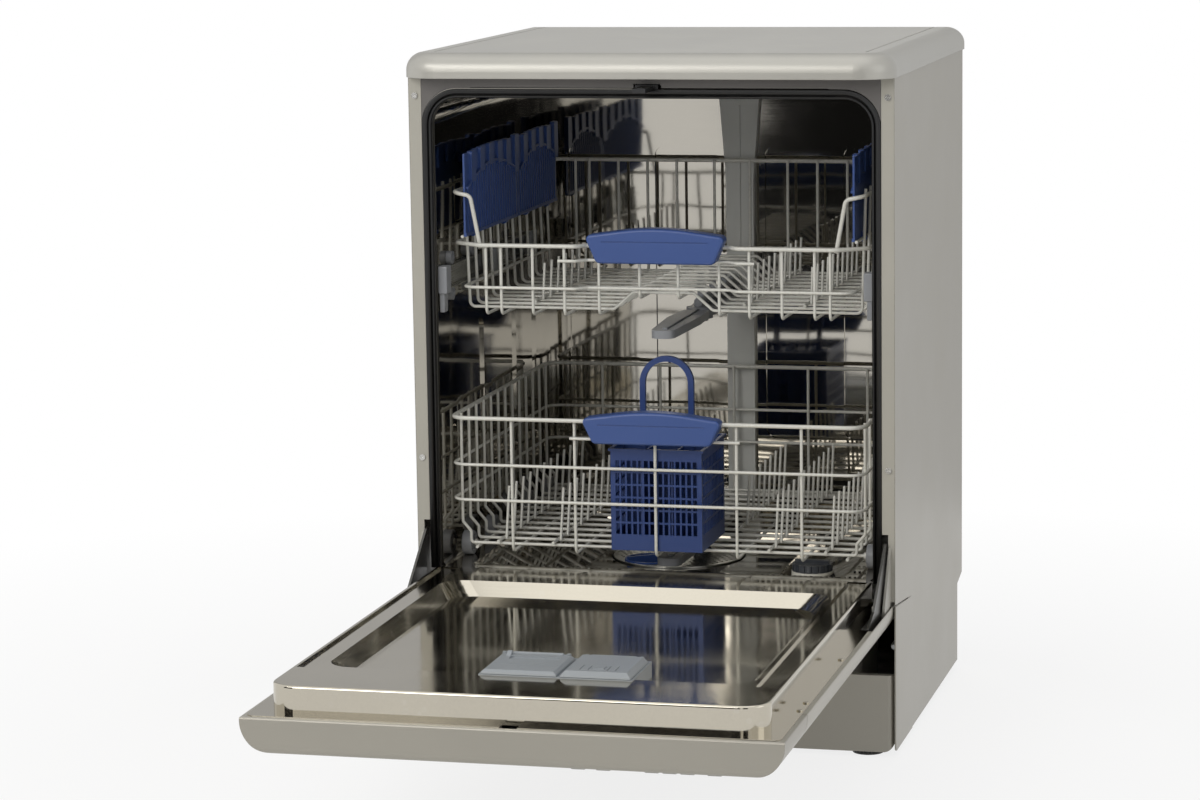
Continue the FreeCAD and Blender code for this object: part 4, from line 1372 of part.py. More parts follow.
lower_grip = handle(LOWER_FRONT - 19.0, LOWER_FRONT + 2.0, LOWER_RIM_Z - 25.0, LOWER_RIM_Z + 15.0,
                    [rod((-200, LOWER_FRONT, LOWER_RIM_Z), (200, LOWER_FRONT, LOWER_RIM_Z), RIM_WIRE),
                     rod((-106.0, lower_front_y - 2 * WIRE, LOWER_RIM_Z - 22.0),
                         (106.0, lower_front_y - 2 * WIRE, LOWER_RIM_Z - 22.0), WIRE)])
write("lower_basket_handle", lower_grip)

# ---- cutlery basket ------------------------------------------------------------------------------------------
cut_y0 = lower_front_y + WIRE + 1.6
cut_y1 = cut_y0 + CUTLERY_DEPTH
cut_z0 = tine_rail_z - WIRE
cut_z1 = cut_z0 + CUTLERY_HEIGHT
skin = 2.0
basket = box(-CUTLERY_HALF, CUTLERY_HALF, cut_y0, cut_y1, cut_z0, cut_z1)
basket = basket.cut(box(-CUTLERY_HALF + skin, CUTLERY_HALF - skin, cut_y0 + skin, cut_y1 - skin, cut_z0 + skin, cut_z1 + 1))
divider_y = (cut_y0 + cut_y1) / 2
dividers = [box(-CUTLERY_HALF + 1, CUTLERY_HALF - 1, divider_y - 1.0, divider_y + 1.0, cut_z0 + 1, cut_z1 - 6.0)]
for x in (-19.0, 19.0):
    dividers.append(box(x - 1.0, x + 1.0, cut_y0 + 1, cut_y1 - 1, cut_z0 + 1, cut_z1 - 6.0))
basket = basket.fuse(dividers)
lip_out = box(-CUTLERY_HALF - 2.5, CUTLERY_HALF + 2.5, cut_y0 - 1.5, cut_y1 + 2.5, cut_z1 - 3.0, cut_z1)
lip_in = box(-CUTLERY_HALF + skin, CUTLERY_HALF - skin, cut_y0 + skin, cut_y1 - skin, cut_z1 - 4.0, cut_z1 + 1.0)
basket = basket.fuse(lip_out.cut(lip_in))
cuts = []
grid_z0 = cut_z0 + 20.0
row_pitch = (cut_z1 - 12.0 - grid_z0) / 6
for row in range(6):
    z0 = grid_z0 + row * row_pitch
    for column in range(14):
        x0 = -CUTLERY_HALF + 6.0 + column * 7.2 + (3.4 if column > 6 else 0.0)
        for y in (cut_y0, cut_y1):
            cuts.append(box(x0, x0 + 4.9, y - 3.0, y + 3.0, z0, z0 + row_pitch - 2.4))
    for column in range(14):
        y0 = cut_y0 + 8.0 + column * 8.3
        for x in (-CUTLERY_HALF, CUTLERY_HALF):
            cuts.append(box(x - 3.0, x + 3.0, y0, y0 + 5.6, z0, z0 + row_pitch - 2.4))
for column in range(11):
    for row in range(12):
        x0 = -CUTLERY_HALF + 6.0 + column * 9.6
        y0 = cut_y0 + 6.0 + row * 10.0
        cuts.append(box(x0, x0 + 6.0, y0, y0 + 6.4, cut_z0 - 1.0, cut_z0 + skin))
basket = basket.cut(Part.makeCompound(cuts))
post_low = cut_z1 - 60.0
loop_outer = slab_y(arch(LOOP_HALF, post_low, LOOP_TOP, LOOP_HALF - 0.1), divider_y - 3.2, divider_y + 3.2)
loop_inner = slab_y(arch(LOOP_HALF - 7.0, post_low - 1.0, LOOP_TOP - 7.0, LOOP_HALF - 7.1), divider_y - 9.0, divider_y + 9.0)
basket = basket.fuse(loop_outer.cut(loop_inner)).removeSplitter()
loop_y0 = divider_y - 3.2
loop_y1 = divider_y + 3.2
loop_z = LOOP_TOP - LOOP_HALF
regions = []
for index in range(4):
    angles = [radians(45.0 * index), radians(45.0 * (index + 1))]
    corners = [(0.0, loop_z, 0)] + [(60.0 * cos(a), loop_z + 60.0 * sin(a), 0) for a in angles]
    regions.append(slab_y(corners, loop_y0, loop_y1))
for z0, z1 in ((cut_z1 - 6.0, loop_z), (post_low, cut_z1 - 6.0)):
    regions += both_sides(box(LOOP_HALF - 7.0, LOOP_HALF, loop_y0, loop_y1, z0, z1))
far = CUTLERY_HALF + 9.0
regions.append(box(-far, far, cut_y0 - 9.0, cut_y0 + skin, cut_z1 - 3.0, cut_z1))
regions.append(box(-far, far, cut_y1 - skin, cut_y1 + 9.0, cut_z1 - 3.0, cut_z1))
regions.append(box(-far, far, cut_y0, cut_y1, cut_z1 - 3.0, cut_z1))
regions.append(box(-far, far, cut_y0, cut_y1, cut_z0, cut_z0 + skin))
regions.append(box(-far, far, cut_y0, cut_y0 + skin, cut_z0, cut_z1))
regions.append(box(-far, far, cut_y1 - skin, cut_y1, cut_z0, cut_z1))
regions += both_sides(box(CUTLERY_HALF - skin, CUTLERY_HALF, cut_y0, cut_y1, cut_z0, cut_z1))
regions.append(box(-far, far, divider_y - 1.0, divider_y + 1.0, cut_z0, cut_z1))
write("cutlery_basket", parted(basket, regions))

# ---- upper basket -------------------------------------------------------------------------------------------
slant_low = (UPPER_SIDE_RIM_HALF - 8.8, UPPER_FLOOR_Z + 13.0)
slant_high = (UPPER_SIDE_RIM_HALF - RIM_WIRE - WIRE, UPPER_SIDE_RIM_Z)


def side_line(z):
    """Distance of the slightly splayed side wires from the middle plane at a height."""
    share = (z - slant_low[1]) / (slant_high[1] - slant_low[1])
    return slant_low[0] + share * (slant_high[0] - slant_low[0])


front_y = UPPER_FRONT
back_y = UPPER_FRONT + UPPER_SET_BACK
rim = [(-UPPER_HALF, front_y + 56.0), (-UPPER_HALF, front_y + 26.0), (-UPPER_HALF + 35.0, front_y), (-101.0, front_y)]
rim += [(-88.0, back_y)]
rim += [(-x, y) for x, y in reversed(rim)]
rim_bends = [12.0, 12.0, 8.0, 8.0, 8.0, 8.0, 12.0, 12.0]
rim_run = wire_run([(x, y, UPPER_RIM_Z) for x, y in rim], RIM_WIRE, rim_bends)
short = [(-122.0, front_y + 0.7), (-101.0, front_y + 0.7), (-88.0, back_y + 0.7)]
short += [(-x, y) for x, y in reversed(short)]
short_run = wire_run([(x, y, UPPER_RIM_Z - 18.0) for x, y in short], WIRE, 6.0)
ring_half = side_line(UPPER_RING_Z) - 2 * WIRE
band = [(-ring_half, front_y + 50.0), (-ring_half, front_y + 0.7), (-101.0, front_y + 0.7), (-88.0, back_y + 0.7)]
band += [(-x, y) for x, y in reversed(band)]
wires = rim_run + short_run
wires += wire_run([(x, y, UPPER_RING_Z) for x, y in band], WIRE, [16.0, 6.0, 6.0, 6.0, 6.0, 16.0])
upper_rear_y = UPPER_REAR - RIM_WIRE - WIRE
ring_rear = upper_rear_y + 2 * WIRE
ring_ends = [(-ring_half, ring_rear - 20.0), (-ring_half, ring_rear), (ring_half, ring_rear), (ring_half, ring_rear - 20.0)]
wires += wire_run([(x, y, UPPER_RING_Z) for x, y in ring_ends], WIRE, 16.0)
side_rim = UPPER_SIDE_RIM_HALF
rim_ends = [(-side_rim, UPPER_REAR - 26.0), (-side_rim, UPPER_REAR), (side_rim, UPPER_REAR), (side_rim, UPPER_REAR - 26.0)]
wires += wire_run([(x, y, UPPER_SIDE_RIM_Z) for x, y in rim_ends], RIM_WIRE, 22.0)
hinge_wire_x = side_line(SHELF_HINGE_Z) - 2 * WIRE
riser_y = front_y + 5.9
for side in (-1, 1):
    wires.append(rod((side * ring_half, front_y + 50.0, UPPER_RING_Z), (side * ring_half, ring_rear - 20.0, UPPER_RING_Z), WIRE))
    riser = [(side * (UPPER_HALF - 36.0), riser_y, UPPER_RIM_Z - 4.0), (side * (UPPER_HALF - 24.0), riser_y, UPPER_SIDE_RIM_Z - 4.0)]
    riser += [(side * side_rim, riser_y, UPPER_SIDE_RIM_Z), (side * side_rim, UPPER_REAR - 26.0, UPPER_SIDE_RIM_Z)]
    wires += wire_run(riser, RIM_WIRE, [8.0, 12.0])
    wires.append(rod((side * hinge_wire_x, front_y + 9.0, SHELF_HINGE_Z), (side * hinge_wire_x, UPPER_REAR - 5.5, SHELF_HINGE_Z), WIRE))
floor_z = UPPER_FLOOR_Z + 2 * WIRE
hump_z = floor_z + 21.0
row_pitch = 35.0
side_rows = [front_y + 43.0 + index * row_pitch for index in range(int((UPPER_REAR - front_y - 60.0) / row_pitch) + 1)]
for y in side_rows:
    points = [(-76.0, y, floor_z), (-62.0, y, floor_z), (-38.0, y, hump_z)]
    points += [(-x, row_y, z) for x, row_y, z in reversed(points)]
    wires.append(bent_wire(points, WIRE, 7.0))
    for side in (-1, 1):
        wires.append(rod((side * 76.0, y, floor_z), (side * 228.0, y, floor_z), WIRE))
        points = [(side * 228.0, y, floor_z), (side * side_line(floor_z), y, floor_z)]
        points += [(side * side_line(floor_z + 29.0), y, floor_z + 29.0)]
        wires.append(bent_wire(points, WIRE, 7.0))
        low_end = (side * side_line(floor_z + 29.0), y, floor_z + 29.0)
        high_end = (side * side_line(UPPER_SIDE_RIM_Z + 6.0), y, UPPER_SIDE_RIM_Z + 6.0)
        wires.append(rod(low_end, high_end, WIRE))
for x, start_y in ((75.0, back_y), (115.0, front_y), (155.0, front_y), (195.0, front_y), (214.0, front_y)):
    for side in (-1, 1):
        y0 = start_y + RIM_WIRE + WIRE
        wires.append(rod((side * x, y0 + 14.0, UPPER_FLOOR_Z), (side * x, upper_rear_y - 14.0, UPPER_FLOOR_Z), WIRE))
        for y, turn in ((y0, 14.0), (upper_rear_y, -14.0)):
            points = [(side * x, y, UPPER_FLOOR_Z + 22.0), (side * x, y, UPPER_FLOOR_Z)]
            points.append((side * x, y + turn, UPPER_FLOOR_Z))
            wires.append(bent_wire(points, WIRE, 8.0))
        wires.append(rod((side * x, y0, UPPER_FLOOR_Z + 22.0), (side * x, y0, UPPER_RIM_Z + 1.0), WIRE))
        wires.append(rod((side * x, upper_rear_y, UPPER_FLOOR_Z + 22.0), (side * x, upper_rear_y, UPPER_SIDE_RIM_Z + 1.0), WIRE))
for x in (-24.0, 24.0):
    y0 = back_y + RIM_WIRE + WIRE
    under_hump = hump_z - 2 * WIRE
    wires.append(rod((x, y0 + 14.0, under_hump), (x, upper_rear_y - 14.0, under_hump), WIRE))
    for y, turn in ((y0, 14.0), (upper_rear_y, -14.0)):
        wires.append(bent_wire([(x, y, hump_z + 20.0), (x, y, under_hump), (x, y + turn, under_hump)], WIRE, 8.0))
    wires.append(rod((x, y0, hump_z + 20.0), (x, y0, UPPER_RIM_Z + 1.0), WIRE))
    wires.append(rod((x, upper_rear_y, hump_z + 20.0), (x, upper_rear_y, UPPER_SIDE_RIM_Z + 1.0), WIRE))
rail_z = floor_z + 2 * WIRE
for x in (-170.0, 95.0, 170.0):
    wires.append(rod((x, side_rows[1] - 8.0, rail_z), (x, side_rows[-1] + 8.0, rail_z), WIRE))
    for index in range(1, len(side_rows) - 1):
        y = side_rows[index] + row_pitch / 2
        wires.append(rod((x + WIRE + TINE, y, rail_z - WIRE + 0.6), (x + WIRE + TINE, y + 9.0, rail_z + 44.0), TINE))
write("upper_basket", wires)

rim_middle = rod((-88.0, back_y, UPPER_RIM_Z), (88.0, back_y, UPPER_RIM_Z), RIM_WIRE)
short_middle = rod((-88.0, back_y + 0.7, UPPER_RIM_Z - 18.0), (88.0, back_y + 0.7, UPPER_RIM_Z - 18.0), WIRE)
upper_grip = handle(back_y - 19.0, back_y + 2.0, UPPER_RIM_Z - 20.0, UPPER_RIM_Z + 23.0, [rim_middle, short_middle])
upper_grip = upper_grip.cut(rim_run + short_run).removeSplitter()
write("upper_basket_handle", upper_grip)

# ---- cup shelves -----------------------------------------------------------------------------------------------


def cup_shelf(start_y, end_y):
    """Fluted shelf that folds down over the basket; the hinge wire is at the local origin."""
    inner = -4.4
    outer = -2.0
    length = end_y - start_y
    middle_y = (start_y + end_y) / 2
    bow_end = SHELF_HEIGHT * 0.56
    bow_rise = SHELF_HEIGHT * 0.24
    flutes = 2 * int(length / 38.0)
    pitch = length / flutes
    parts = []
    hollows = []

    def bow(y):
        return bow_end + bow_rise * (1.0 - ((y - middle_y) / (length / 2)) ** 2)

    for index in range(flutes):
        y0 = start_y + index * pitch
        y1 = y0 + pitch
        share = (index + 0.5) / flutes
        top = SHELF_HEIGHT - 5.0 * (2 * share - 1.0) ** 2 + (5.0 if index == flutes - 1 else 0.0)
        parts.append(slab_x([(y0, 0.0, 0), (y1, 0.0, 0), (y1, top, 1.5), (y0, top, 1.5)], inner, outer))
        if index % 2:
            low = bow((y0 + y1) / 2) - 5.0
            parts.append(slab_x([(y0, low, 1.5), (y1, low, 1.5), (y1, top, 3.0), (y0, top, 3.0)],
                                inner - SHELF_FLUTE, inner + 0.2))
            hollows.append(slab_x([(y0 + 1.8, low + 1.8, 1.0), (y1 - 1.8, low + 1.8, 1.0), (y1 - 1.8, top - 1.8, 2.0),
                                   (y0 + 1.8, top - 1.8, 2.0)], inner - SHELF_FLUTE + 1.8, outer + 1.0))
    ribs = int(length / 10.5)
    for index in range(1, ribs):
        y = start_y + index * length / ribs
        parts.append(box(inner - 1.3, inner + 0.2, y - 1.0, y + 1.0, 4.0, bow(y) - 1.0))
    parts.append(box(inner - 1.3, inner + 0.2, start_y, end_y, 0.0, 4.0))
    steps = 16
    edge = [start_y + 4.0 + index * (length - 8.0) / steps for index in range(steps + 1)]
    rim_line = [Vector(inner - 3.2, y, bow(y)) for y in edge] + [Vector(inner - 3.2, y, bow(y) - 3.0) for y in reversed(edge)]
    parts.append(Part.Face(Part.makePolygon(rim_line + rim_line[:1])).extrude(Vector(3.4, 0, 0)))
    for y in side_rows[:-1]:
        middle = y + row_pitch / 2
        nearest = min(abs(middle - start_y - 48.0), abs(middle - end_y + 40.0))
        if start_y + 8.0 < middle < end_y - 8.0 and nearest < row_pitch / 2:
            eye = rod((0.0, middle - 4.0, 0.0), (0.0, middle + 4.0, 0.0), 4.4)
            eye = eye.fuse(box(-4.4, 0.0, middle - 4.0, middle + 4.0, 0.0, 8.0))
            parts.append(eye)
    shelf = parts[0].fuse(parts[1:]).cut(hollows)
    shelf = shelf.cut(rod((0.0, start_y - 1.0, 0.0), (0.0, end_y + 1.0, 0.0), WIRE + RUNNING_CLEARANCE))
    shelf.translate(Vector(hinge_wire_x, 0, SHELF_HINGE_Z))
    return shelf.removeSplitter()


right_shelves = [cup_shelf(UPPER_FRONT + start, UPPER_FRONT + end) for start, end in SHELF_SPANS]
write("cup_shelves_right", right_shelves)
write("cup_shelves_left", [mirrored(shelf) for shelf in right_shelves])

# ---- rollers, rails and their stops ----------------------------------------------------------------------------
rail_middle = (RAIL_LOW + RAIL_HIGH) / 2
roller_radius = (RAIL_HIGH - RAIL_LOW) / 2 - 1.2 - RUNNING_CLEARANCE
plate_x = side_line(rail_middle + 19.0) + WIRE + 0.05
rollers = []
for y in BASKET_ROLLER_ROWS:
    bracket = slab_x([(y - 16.0, rail_middle - 19.0, 5.0), (y + 16.0, rail_middle - 19.0, 5.0),
                      (y + 16.0, rail_middle + 19.0, 5.0), (y - 16.0, rail_middle + 19.0, 5.0)], plate_x, plate_x + 2.5)
    pin = rod((plate_x + 2.0, y, rail_middle), (RAIL_IN + 1.0, y, rail_middle), 3.5)
    disc = rod((RAIL_IN + 0.6, y, rail_middle), (RAIL_OUT - 1.2 - RUNNING_CLEARANCE - 0.3, y, rail_middle), roller_radius)
    piece = bracket.fuse([pin, disc]).removeSplitter()
    rollers += [piece, mirrored(piece)]
write("basket_rollers", rollers)

rail_rear = RAIL_FRONT + RAIL_LENGTH
channel = box(RAIL_IN, RAIL_OUT, RAIL_FRONT, rail_rear, RAIL_LOW, RAIL_HIGH)
channel = channel.cut(box(RAIL_IN - 1.0, RAIL_OUT - 1.2, RAIL_FRONT - 1.0, rail_rear - 3.0, RAIL_LOW + 1.2, RAIL_HIGH - 1.2))
write("slide_rails", [channel, mirrored(channel)])

block = box(RAIL_IN - 3.0, TUB_HALF - 0.6, RAIL_FRONT - 6.0, RAIL_FRONT + 14.0, RAIL_LOW - 4.0, RAIL_HIGH + 2.0)
block = block.makeFillet(1.5, block.Edges)
tab = box(RAIL_IN + 1.0, RAIL_OUT - 1.0, RAIL_FRONT - 4.0, RAIL_FRONT + 10.0, RAIL_LOW - 27.0, RAIL_LOW - 3.9)
tab = tab.makeFillet(1.2, [edge for edge in tab.Edges if edge.BoundBox.ZMax < RAIL_LOW - 20.0])
block = block.fuse(tab).cut(channel).removeSplitter()
write("rail_end_stops", [block, mirrored(block)])

# ---- upper spray arm and its feed pipe --------------------------------------------------------------------------
upper_arm = spray_arm(0.0, HUB_Y, UPPER_ARM_Z, UPPER_ARM_REACH, 17.0, 7.0 + RUNNING_CLEARANCE)
write("upper_spray_arm", upper_arm)

pipe_end = outlet_y - RUNNING_CLEARANCE - 0.4
pipe = rod((0.0, HUB_Y - 8.0, pipe_z), (0.0, pipe_end, pipe_z), FEED_PIPE_RADIUS)
stem = rod((0.0, HUB_Y, UPPER_ARM_Z - 3.0), (0.0, HUB_Y, pipe_z), 7.0)
retainer = rod((0.0, HUB_Y, UPPER_ARM_Z - 5.5), (0.0, HUB_Y, UPPER_ARM_Z - 2.0 - RUNNING_CLEARANCE), 11.0)
funnel = rod((0.0, pipe_end - 10.0, pipe_z), (0.0, pipe_end, pipe_z), FEED_PIPE_RADIUS + 2.4)
supports = []
for y in side_rows[-2::-2][:3]:
    supports.append(box(-4.0, 4.0, y - 3.0, y + 3.0, pipe_z + FEED_PIPE_RADIUS - 1.5, hump_z - WIRE))
pipe = pipe.fuse([stem, retainer, funnel] + supports)
pipe = pipe.cut(rod((0.0, pipe_end - 60.0, pipe_z), (0.0, pipe_end + 1.0, pipe_z), FEED_PIPE_RADIUS - 1.6)).removeSplitter()
write("spray_feed_pipe", pipe)
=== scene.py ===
# %% [markdown]
# # A dishwasher with its door let down
#
# The construction model already holds every solid piece in its true place: the cabinet, the tub,
# the door, two wire baskets, the wash arms and the small fittings.
# This lesson loads it as a fixed frame and gives each piece its real finish.
# One piece is too fine for the construction model: the ribbed door seal. It is built here as a
# mesh and stands in for the plain solid.

# %% Load the frame
import bpy
from math import cos, pi, sin
from mathutils import Matrix, Vector


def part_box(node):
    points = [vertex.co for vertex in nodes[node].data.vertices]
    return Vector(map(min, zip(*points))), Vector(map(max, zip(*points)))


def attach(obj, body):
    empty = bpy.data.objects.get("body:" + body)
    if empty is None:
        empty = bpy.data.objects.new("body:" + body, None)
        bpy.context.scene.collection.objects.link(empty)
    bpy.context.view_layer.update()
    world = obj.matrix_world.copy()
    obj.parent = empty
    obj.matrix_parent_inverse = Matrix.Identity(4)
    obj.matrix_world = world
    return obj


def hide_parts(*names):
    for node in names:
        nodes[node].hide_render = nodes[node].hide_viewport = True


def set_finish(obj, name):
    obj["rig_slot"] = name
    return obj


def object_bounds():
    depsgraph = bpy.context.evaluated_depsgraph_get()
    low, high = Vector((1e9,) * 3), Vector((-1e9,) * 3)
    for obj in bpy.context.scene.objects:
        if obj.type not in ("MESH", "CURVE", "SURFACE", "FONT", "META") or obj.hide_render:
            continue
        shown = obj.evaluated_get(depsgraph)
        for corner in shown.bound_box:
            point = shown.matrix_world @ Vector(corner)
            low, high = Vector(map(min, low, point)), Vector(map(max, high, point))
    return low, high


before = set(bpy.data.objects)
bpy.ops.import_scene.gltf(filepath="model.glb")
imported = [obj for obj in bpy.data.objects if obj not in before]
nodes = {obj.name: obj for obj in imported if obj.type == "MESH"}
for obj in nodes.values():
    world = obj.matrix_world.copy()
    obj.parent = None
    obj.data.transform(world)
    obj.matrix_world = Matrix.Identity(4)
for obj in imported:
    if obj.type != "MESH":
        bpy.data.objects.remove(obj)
cad_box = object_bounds()
MM = 0.001

# %% [markdown]
# ## The camera
#
# A long lens a good four metres away keeps the cabinet's upright edges nearly parallel.
# The camera stands to the right of the middle and a little above the worktop, so it sees down
# into the baskets and along the right side panel.
# Its direction is written as three axes, which is easier to check than three turning angles.

# %% Camera
CAMERA_PLACE = (1.0055, -4.1679, 1.1185)
CAMERA_TURN = 0.2476       # to the left of straight ahead, in radians
CAMERA_DIP = 0.1568        # below the horizon
CAMERA_ROLL = -0.0143
CAMERA_LENS = 109.24       # millimetres on a 36 mm sensor

ahead = Vector((-sin(CAMERA_TURN) * cos(CAMERA_DIP),
                cos(CAMERA_TURN) * cos(CAMERA_DIP),
                -sin(CAMERA_DIP)))
level = Vector((cos(CAMERA_TURN), sin(CAMERA_TURN), 0.0))
above = level.cross(ahead)
right = level * cos(CAMERA_ROLL) + above * sin(CAMERA_ROLL)
upward = above * cos(CAMERA_ROLL) - level * sin(CAMERA_ROLL)
turned = Matrix((right, upward, -ahead)).transposed().to_4x4()

camera_data = bpy.data.cameras.new("view_camera")
camera_data.sensor_width = 36.0
camera_data.lens = CAMERA_LENS
camera_data.clip_end = 60.0
camera = bpy.data.objects.new("view_camera", camera_data)
camera.matrix_world = Matrix.Translation(CAMERA_PLACE) @ turned
bpy.context.scene.collection.objects.link(camera)
bpy.context.scene.camera = camera
distance = (Vector(CAMERA_PLACE) - (cad_box[0] + cad_box[1]) / 2).length
print("camera stands", round(distance, 2), "m from the middle")

# %% [markdown]
# ## Shared surface effects
#
# Real surfaces are never one even colour. Paint wears on its edges, steel has drawing lines,
# pressed sheet is slightly wavy, and dried drops leave rings.
# Each such effect is a node group with named inputs, so the same effect can be set differently in
# each material. A group only gives out values, masks and normals. The shader stays in the
# material.

# %% Helper for building a node group
def effect(name, inputs, outputs):
    """Start a node group; returns the group, its input sockets and a way to set its outputs."""
    group = bpy.data.node_groups.new(name, "ShaderNodeTree")
    for label, value in inputs.items():
        socket = group.interface.new_socket(label, in_out="INPUT", socket_type="NodeSocketFloat")
        socket.default_value = value
    for label, kind in outputs.items():
        group.interface.new_socket(label, in_out="OUTPUT", socket_type=kind)
    start = group.nodes.new("NodeGroupInput")
    end = group.nodes.new("NodeGroupOutput")
    return group, start.outputs, end.inputs


def add(tree, kind, links=None, **values):
    """Add a node, set its properties by name and link or fill its inputs."""
    node = tree.nodes.new(kind)
    for key, value in values.items():
        setattr(node, key, value)
    for key, source in (links or {}).items():
        if isinstance(source, bpy.types.NodeSocket):
            tree.links.new(source, node.inputs[key])
        else:
            node.inputs[key].default_value = source
    return node


def maths(tree, operation, first, second=0.0, clamp=False):
    node = add(tree, "ShaderNodeMath", {0: first, 1: second}, operation=operation, use_clamp=clamp)
    return node.outputs[0]


def spread(tree, value, low, high, to_low=0.0, to_high=1.0):
    """Map a value from one range to another, clamped at both ends."""
    node = add(tree, "ShaderNodeMapRange", {0: value, 1: low, 2: high, 3: to_low, 4: to_high})
    return node.outputs[0]


def stretched(tree, scales):
    """Coordinates fixed to the piece, stretched by a value along each axis."""
    place = add(tree, "ShaderNodeTexCoord").outputs["Object"]
    mapped = add(tree, "ShaderNodeMapping", {"Vector": place, "Scale": scales})
    return mapped.outputs[0]


print("helpers ready")

# %% [markdown]
# ### Worn edges and soft corners
#
# Wherever two faces meet, paint is thinner and plastic is rubbed brighter.
# The Bevel node returns a rounded normal near an edge. Where it differs from the true normal there
# is an edge, and that difference is the mask. The rounded normal itself also serves: it gives every
# sharp corner the small radius that catches the light.

# %% Edge effects
VALUE = "NodeSocketFloat"
NORMAL = "NodeSocketVector"
BEVEL_SAMPLES = 4
FLAT, SHARP = 0.99, 0.82   # likeness of the two normals on a plain face and on a sharp edge
EVEN = (1, 1, 1)

worn_edges, start, end = effect("Worn Edges", {"Radius": 0.001, "Patchiness": 60.0, "Amount": 0.5},
                                {"Mask": VALUE})
soft_normal = add(worn_edges, "ShaderNodeBevel", {"Radius": start["Radius"]},
                  samples=BEVEL_SAMPLES).outputs[0]
true_normal = add(worn_edges, "ShaderNodeNewGeometry").outputs["Normal"]
likeness = add(worn_edges, "ShaderNodeVectorMath", {0: soft_normal, 1: true_normal},
               operation="DOT_PRODUCT")
edge = spread(worn_edges, likeness.outputs["Value"], FLAT, SHARP)
patches = add(worn_edges, "ShaderNodeTexNoise", {
    "Vector": stretched(worn_edges, EVEN), "Scale": start["Patchiness"], "Detail": 3.0})
broken = spread(worn_edges, patches.outputs[0], 0.35, 0.65, 0.3, 1.0)
mask = maths(worn_edges, "MULTIPLY", edge, broken)
worn_edges.links.new(maths(worn_edges, "MULTIPLY", mask, start["Amount"], True), end["Mask"])

soft_corners, start, end = effect("Soft Corners", {"Radius": 0.0008}, {"Normal": NORMAL})
rounded = add(soft_corners, "ShaderNodeBevel", {"Radius": start["Radius"]}, samples=BEVEL_SAMPLES)
soft_corners.links.new(rounded.outputs[0], end["Normal"])
print("edge effects:", worn_edges.name, "and", soft_corners.name)

# %% [markdown]
# ### Grain, drawing lines and sheet waves
#
# Moulded plastic and sprayed paint have a fine even grain. Rolled or polished sheet has lines in
# one direction. Thin pressed sheet is never quite flat, which is what bends the reflections in the
# tub. All three come from noise: even, stretched along one axis, and very large.

# %% Grain effects
FINE_SHARE = 0.35          # the rest of the tint comes from the large blotches
surface_grain, start, end = effect("Surface Grain", {"Scale": 900.0, "Blotch Scale": 9.0},
                                   {"Height": VALUE, "Tint": VALUE})
place = stretched(surface_grain, EVEN)
fine = add(surface_grain, "ShaderNodeTexNoise", {
    "Vector": place, "Scale": start["Scale"], "Detail": 2.0})
blotch = add(surface_grain, "ShaderNodeTexNoise", {
    "Vector": place, "Scale": start["Blotch Scale"], "Detail": 4.0})
surface_grain.links.new(fine.outputs[0], end["Height"])
mixed = maths(surface_grain, "ADD",
              maths(surface_grain, "MULTIPLY", fine.outputs[0], FINE_SHARE),
              maths(surface_grain, "MULTIPLY", blotch.outputs[0], 1.0 - FINE_SHARE))
surface_grain.links.new(spread(surface_grain, mixed, 0.3, 0.7), end["Tint"])

drawing_lines, start, end = effect(
    "Drawing Lines", {"Across": 1500.0, "Along": 12.0, "Upright": 1.0},
    {"Height": VALUE, "Streak": VALUE})
place = add(drawing_lines, "ShaderNodeTexCoord").outputs["Object"]
apart = add(drawing_lines, "ShaderNodeSeparateXYZ", {0: place})


def line_scale(lying, standing):
    """The noise scale on an axis: one value where the lines lie, another where they stand."""
    change = maths(drawing_lines, "SUBTRACT", standing, lying)
    return maths(drawing_lines, "ADD", lying,
                 maths(drawing_lines, "MULTIPLY", start["Upright"], change))


side_scale = line_scale(start["Along"], start["Across"])
high_scale = line_scale(start["Across"], start["Along"])
lined = add(drawing_lines, "ShaderNodeCombineXYZ", {
    axis: maths(drawing_lines, "MULTIPLY", apart.outputs[axis], scale)
    for axis, scale in enumerate((side_scale, side_scale, high_scale))})
streaks = add(drawing_lines, "ShaderNodeTexNoise", {
    "Vector": lined.outputs[0], "Scale": 1.0, "Detail": 3.0})
drawing_lines.links.new(streaks.outputs[0], end["Height"])
drawing_lines.links.new(spread(drawing_lines, streaks.outputs[0], 0.3, 0.7), end["Streak"])

sheet_waves, start, end = effect("Sheet Waves", {"Scale": 6.0}, {"Height": VALUE})
rolling = add(sheet_waves, "ShaderNodeTexNoise", {
    "Vector": stretched(sheet_waves, EVEN), "Scale": start["Scale"], "Detail": 1.0})
sheet_waves.links.new(rolling.outputs[0], end["Height"])
print("grain effects:", surface_grain.name, drawing_lines.name, sheet_waves.name)

# %% [markdown]
# ### Dust and dried drops
#
# Fine dust settles on what faces up. The direction is read in the piece's own space, so it stays on
# the same faces when the door swings.
# Dried drops are rings: a cell pattern gives the distance to each drop's middle, and only a narrow
# band of that distance counts. A noise decides where drops fall at all.

# %% Dust and drops
settled_dust, start, end = effect("Settled Dust", {"Amount": 0.3, "Scale": 30.0}, {"Mask": VALUE})
own_normal = add(settled_dust, "ShaderNodeTexCoord").outputs["Normal"]
facing_up = add(settled_dust, "ShaderNodeSeparateXYZ", {0: own_normal}).outputs[2]
drifts = add(settled_dust, "ShaderNodeTexNoise", {
    "Vector": stretched(settled_dust, EVEN), "Scale": start["Scale"], "Detail": 5.0})
layer = maths(settled_dust, "MULTIPLY", spread(settled_dust, facing_up, 0.5, 1.0),
              spread(settled_dust, drifts.outputs[0], 0.4, 0.75))
settled_dust.links.new(maths(settled_dust, "MULTIPLY", layer, start["Amount"], True), end["Mask"])

